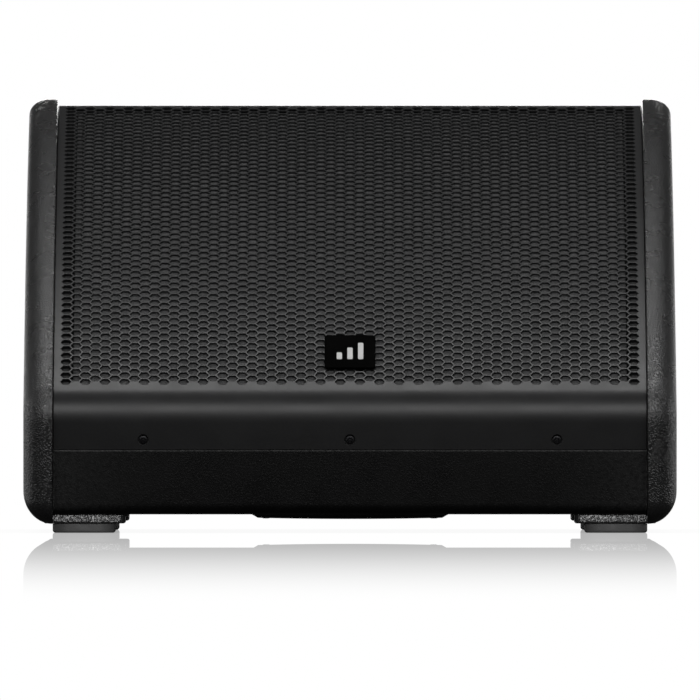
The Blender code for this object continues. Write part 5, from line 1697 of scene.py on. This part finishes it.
class WEDGE_OT_inside(Operator):
    """Reflex tubes, amplifier parts, driver lead and damping wadding"""

    bl_idname = "wedge.inside"
    bl_label = "Inside the cabinet"

    def execute(self, context):
        tube = [(33, -62), (36, -62), (36, 0.3), (44, 0.3), (43.2, 3.2), (37, 3.6), (33.8, 1.5), (33, -3)]
        for name, x in (("left", -PORT_SIDE), ("right", PORT_SIDE)):
            surface = turned(soft_ring(tube, 1.5, 4), on_baffle(PORT_ALONG, x), 72)
            piece(
                f"{name}_port", [surface], "control_plastic", replaces=[f"{name}_port_tube"],
                slot="gloss_plastic"
            )
        refinish("circuit_board", "amp_board", "control_board")
        refinish("cable_jacket", "speaker_cable")

        spot = (-72, 205)
        legs = [frame_shape((-72 + x, 205), 11, 30, 0.8, 3) for x in (-15.5, 15.5)]
        core = panel_shape(frame_shape(spot, 55.6, 47.6, 1.5), legs, -70, -52, 0.4)
        straps = [panel_block((-72, 205 + z), 50, 3, 0.5, -52.2, -42.8, 0.3) for z in (-21, 21)]
        piece("transformer_core", core + straps, "ferrite", replaces=["transformer"], slot="ferrite")
        wound = block(32, 29, 6, pillow(-77.9, -43.5, 4, 4, 5), facing_back(*spot), 6)
        piece("transformer_windings", [wound], "transformer_wire", slot="copper")
        sleeves = []
        for x in (-10, 20, 50):
            can = [
                (0, -34.3), (9.5, -34.3), (10.5, -33.7), (12.3, -33.9), (12.9, -33), (12.9, -4), (12.6, -3),
                (12.6, -1), (0, -1)
            ]
            sleeves.append(turned(soften(can, 0.5, 3), facing_back(x, 225, PLATE_FACE - 42), 40))
        piece("capacitor_sleeves", sleeves, "black_nylon", slot="gloss_plastic")
        self.make_wadding()
        return {"FINISHED"}

    def make_wadding(self):
        """A quilted pad: a flat box swept into a super-ellipse, its top raised by |sin| waves."""
        half, deep, low, tall = 199, 59, 30.95, 17.4
        u, v = np.meshgrid(np.linspace(-1, 1, 121), np.linspace(-1, 1, 41))
        rim = np.clip(1 - np.maximum(np.abs(u) ** 12, np.abs(v) ** 6), 0, 1) ** 0.45
        quilt = np.abs(np.sin(u * math.pi * 4)) ** 0.5 * np.abs(np.sin((v + 1) * math.pi)) ** 0.5
        uneven = 0.5 * np.sin(u * 23 + v * 7) * np.sin(v * 11 + 1) + 0.4 * np.sin(u * 41 - v * 13)
        high = low + 2.2 + rim * (tall - 2.2 - 3.2 * (1 - quilt) - 0.9 + 0.7 * uneven)
        bottom = low + 2.2 * (1 - rim**2)
        x, depth = half * u, 360 + deep * v
        ring_of = np.concatenate(
            [place(x, depth, high), place(x, depth, np.minimum(bottom, high - 0.2))[:, ::-1]], 1
        )
        ends = [np.repeat(row.mean(0)[None], len(row), 0) for row in (ring_of[0], ring_of[-1])]
        pad = piece(
            "wadding_pad", [grid(np.array([ends[0], *ring_of, ends[1]]), wrap=True)], "wadding",
            replaces=["damping_pad"], slot="wadding", smooth=80,
        )




# ---------------------------------------------------------------- studio


def aim(made, target):
    made.rotation_euler = (Vector(target) - made.location).to_track_quat("-Z", "Y").to_euler()


def soft_light(name, where, target, width, length, power):
    """A rectangular softbox."""
    data = bpy.data.lights.new(name, "AREA")
    data.shape = "RECTANGLE"
    data.size, data.size_y = width, length
    data.energy = power
    made = bpy.data.objects.new(name, data)
    made.location = where
    aim(made, target)
    made.visible_camera = False
    bpy.context.scene.collection.objects.link(made)
    return made


def studio_air():
    """A white room as the camera sees it. The object is lit by a dim room with a white wall behind it."""
    world = bpy.data.worlds.new("studio_air")
    world.use_nodes = True
    tree = world.node_tree
    tree.nodes.clear()
    direction = node(tree, "ShaderNodeTexCoord").outputs["Generated"]
    parts = node(tree, "ShaderNodeSeparateXYZ", {0: direction})
    behind = ranged(tree, parts.outputs["Y"], 0.05, 0.45)
    level = ranged(tree, maths(tree, "ABSOLUTE", parts.outputs["Z"]), 0.05, 0.16, 1.0, 0.0)
    wall = maths(tree, "MULTIPLY", behind, level)
    strength = maths(tree, "ADD", maths(tree, "MULTIPLY", wall, 0.94), 0.06)
    room = node(tree, "ShaderNodeBackground", {"Color": (1, 1, 1, 1), "Strength": strength})
    white = node(tree, "ShaderNodeBackground", {"Color": (1, 1, 1, 1), "Strength": 1.0})
    seen = node(tree, "ShaderNodeLightPath").outputs["Is Camera Ray"]
    both = node(tree, "ShaderNodeMixShader", {0: seen, 1: room.outputs[0], 2: white.outputs[0]})
    out = node(tree, "ShaderNodeOutputWorld")
    tree.links.new(both.outputs[0], out.inputs["Surface"])
    bpy.context.scene.world = world


def pale_floor():
    """A white polished floor: soft contact shadows from above, and at a flat angle a reflection that fades
    away round the object. It is clear from underneath, so the base can be looked at."""
    made = bpy.data.materials.new("pale_floor")
    made.use_nodes = True
    tree = made.node_tree
    tree.nodes.clear()
    place_on = node(tree, "ShaderNodeTexCoord").outputs["Object"]
    reach = node(tree, "ShaderNodeVectorMath", {0: place_on}, operation="LENGTH").outputs["Value"]
    white = node(tree, "ShaderNodeEmission", {"Color": (1, 1, 1, 1), "Strength": 1.0})
    mirror = node(tree, "ShaderNodeBsdfGlossy", {"Color": (1, 1, 1, 1), "Roughness": 0.0})
    share = ranged(tree, reach, 0.46, 7.06, 0.62, 0.0)
    polish = node(tree, "ShaderNodeMixShader", {0: share, 1: white.outputs[0], 2: mirror.outputs[0]})
    hidden = node(tree, "ShaderNodeAmbientOcclusion", {"Distance": 0.22}, samples=8).outputs["AO"]
    shadow = node(tree, "ShaderNodeEmission", {"Strength": ranged(tree, hidden, 0.0, 1.0, 0.5, 1.0)})
    flat = node(tree, "ShaderNodeFresnel", {"IOR": 1.02}).outputs[0]
    lit = node(tree, "ShaderNodeMixShader", {0: flat, 1: shadow.outputs[0], 2: polish.outputs[0]})
    dim = node(tree, "ShaderNodeEmission", {"Color": (1, 1, 1, 1), "Strength": 0.02})
    clear = node(tree, "ShaderNodeBsdfTransparent")
    seen = node(tree, "ShaderNodeLightPath").outputs["Is Camera Ray"]
    above = node(tree, "ShaderNodeMixShader", {0: seen, 1: dim.outputs[0], 2: lit.outputs[0]})
    under = node(tree, "ShaderNodeNewGeometry").outputs["Backfacing"]
    both = node(tree, "ShaderNodeMixShader", {0: under, 1: above.outputs[0], 2: clear.outputs[0]})
    out = node(tree, "ShaderNodeOutputMaterial")
    tree.links.new(both.outputs[0], out.inputs["Surface"])
    return made


class WEDGE_OT_stage(Operator):
    """Level camera, pale floor, white surroundings and softboxes"""

    bl_idname = "wedge.stage"
    bl_label = "Studio"

    def execute(self, context):
        studio = context.scene.wedge_studio
        data = bpy.data.cameras.new("camera")
        data.sensor_width = 36
        data.lens = data.sensor_width * studio.distance / studio.width
        data.clip_end = 200
        camera = bpy.data.objects.new("camera", data)
        camera.location = (0, -MIDDLE * MM - studio.distance, studio.height)
        camera.rotation_euler = (math.pi / 2, 0, 0)
        context.scene.collection.objects.link(camera)
        context.scene.camera = camera

        mesh = bpy.data.meshes.new("floor")
        far = 120
        mesh.from_pydata([(-far, -far, 0), (far, -far, 0), (far, far, 0), (-far, far, 0)], [], [(0, 1, 2, 3)])
        mesh.materials.append(pale_floor())
        floor = bpy.data.objects.new("floor", mesh)
        context.scene.collection.objects.link(floor)
        studio_air()
        context.scene.view_settings.view_transform = "Standard"

        middle = (0, 0, 0.2)
        soft_light("overhead_bank", (0, 0.42, 2.35), middle, 3.2, 0.3, 20)
        soft_light("front_softbox", (0, -2.2, 1.78), middle, 6.0, 0.85, 46)
        soft_light("left_strip", (-2.6, 1.2, 0.6), middle, 0.5, 1.6, 5)
        soft_light("right_strip", (2.6, 1.2, 0.6), middle, 0.5, 1.6, 5)
        soft_light("rear_softbox", (0, 3.2, 0.85), middle, 1.2, 0.8, 34)
        feet = bpy.data.collections.new("lit_from_below")
        for made in list(context.scene.objects):
            if made.name.endswith(("_rubber", "_foot_pads")):
                feet.objects.link(made)
        low = soft_light("low_strip", (0, -2.6, 0.1), (0, 0, 0.01), 1.6, 0.2, 26)
        low.light_linking.receiver_collection = feet
        return {"FINISHED"}


# ---------------------------------------------------------------- panel and running

OPERATORS = (
    WEDGE_OT_grille, WEDGE_OT_foam, WEDGE_OT_badge, WEDGE_OT_boards, WEDGE_OT_cheeks,
    WEDGE_OT_feet, WEDGE_OT_hand_hold, WEDGE_OT_plate, WEDGE_OT_sockets, WEDGE_OT_controls, WEDGE_OT_mains,
    WEDGE_OT_driver, WEDGE_OT_inside, WEDGE_OT_stage,
)
GROUPS = {"wedge_sizes": WedgeSizes, "wedge_colours": WedgeColours, "wedge_studio": WedgeStudio}


class WEDGE_PT_panel(Panel):
    """Sizes, colours and the steps that build the wedge"""

    bl_idname = "WEDGE_PT_panel"
    bl_label = "Stage monitor wedge"
    bl_space_type = "VIEW_3D"
    bl_region_type = "UI"
    bl_category = "Wedge"

    def draw(self, context):
        for name, group in GROUPS.items():
            box = self.layout.box()
            for setting in group.__annotations__:
                box.prop(getattr(context.scene, name), setting)
        for operator in OPERATORS:
            self.layout.operator(operator.bl_idname)


def register():
    for kind in (*GROUPS.values(), *OPERATORS, WEDGE_PT_panel):
        bpy.utils.register_class(kind)
    for name, group in GROUPS.items():
        setattr(bpy.types.Scene, name, PointerProperty(type=group))


def unregister():
    for name in GROUPS:
        delattr(bpy.types.Scene, name)
    for kind in reversed((*GROUPS.values(), *OPERATORS, WEDGE_PT_panel)):
        bpy.utils.unregister_class(kind)


def main():
    register()
    for operator in OPERATORS:
        group, name = operator.bl_idname.split(".")
        getattr(getattr(bpy.ops, group), name)()


if __name__ == "__main__":
    main()
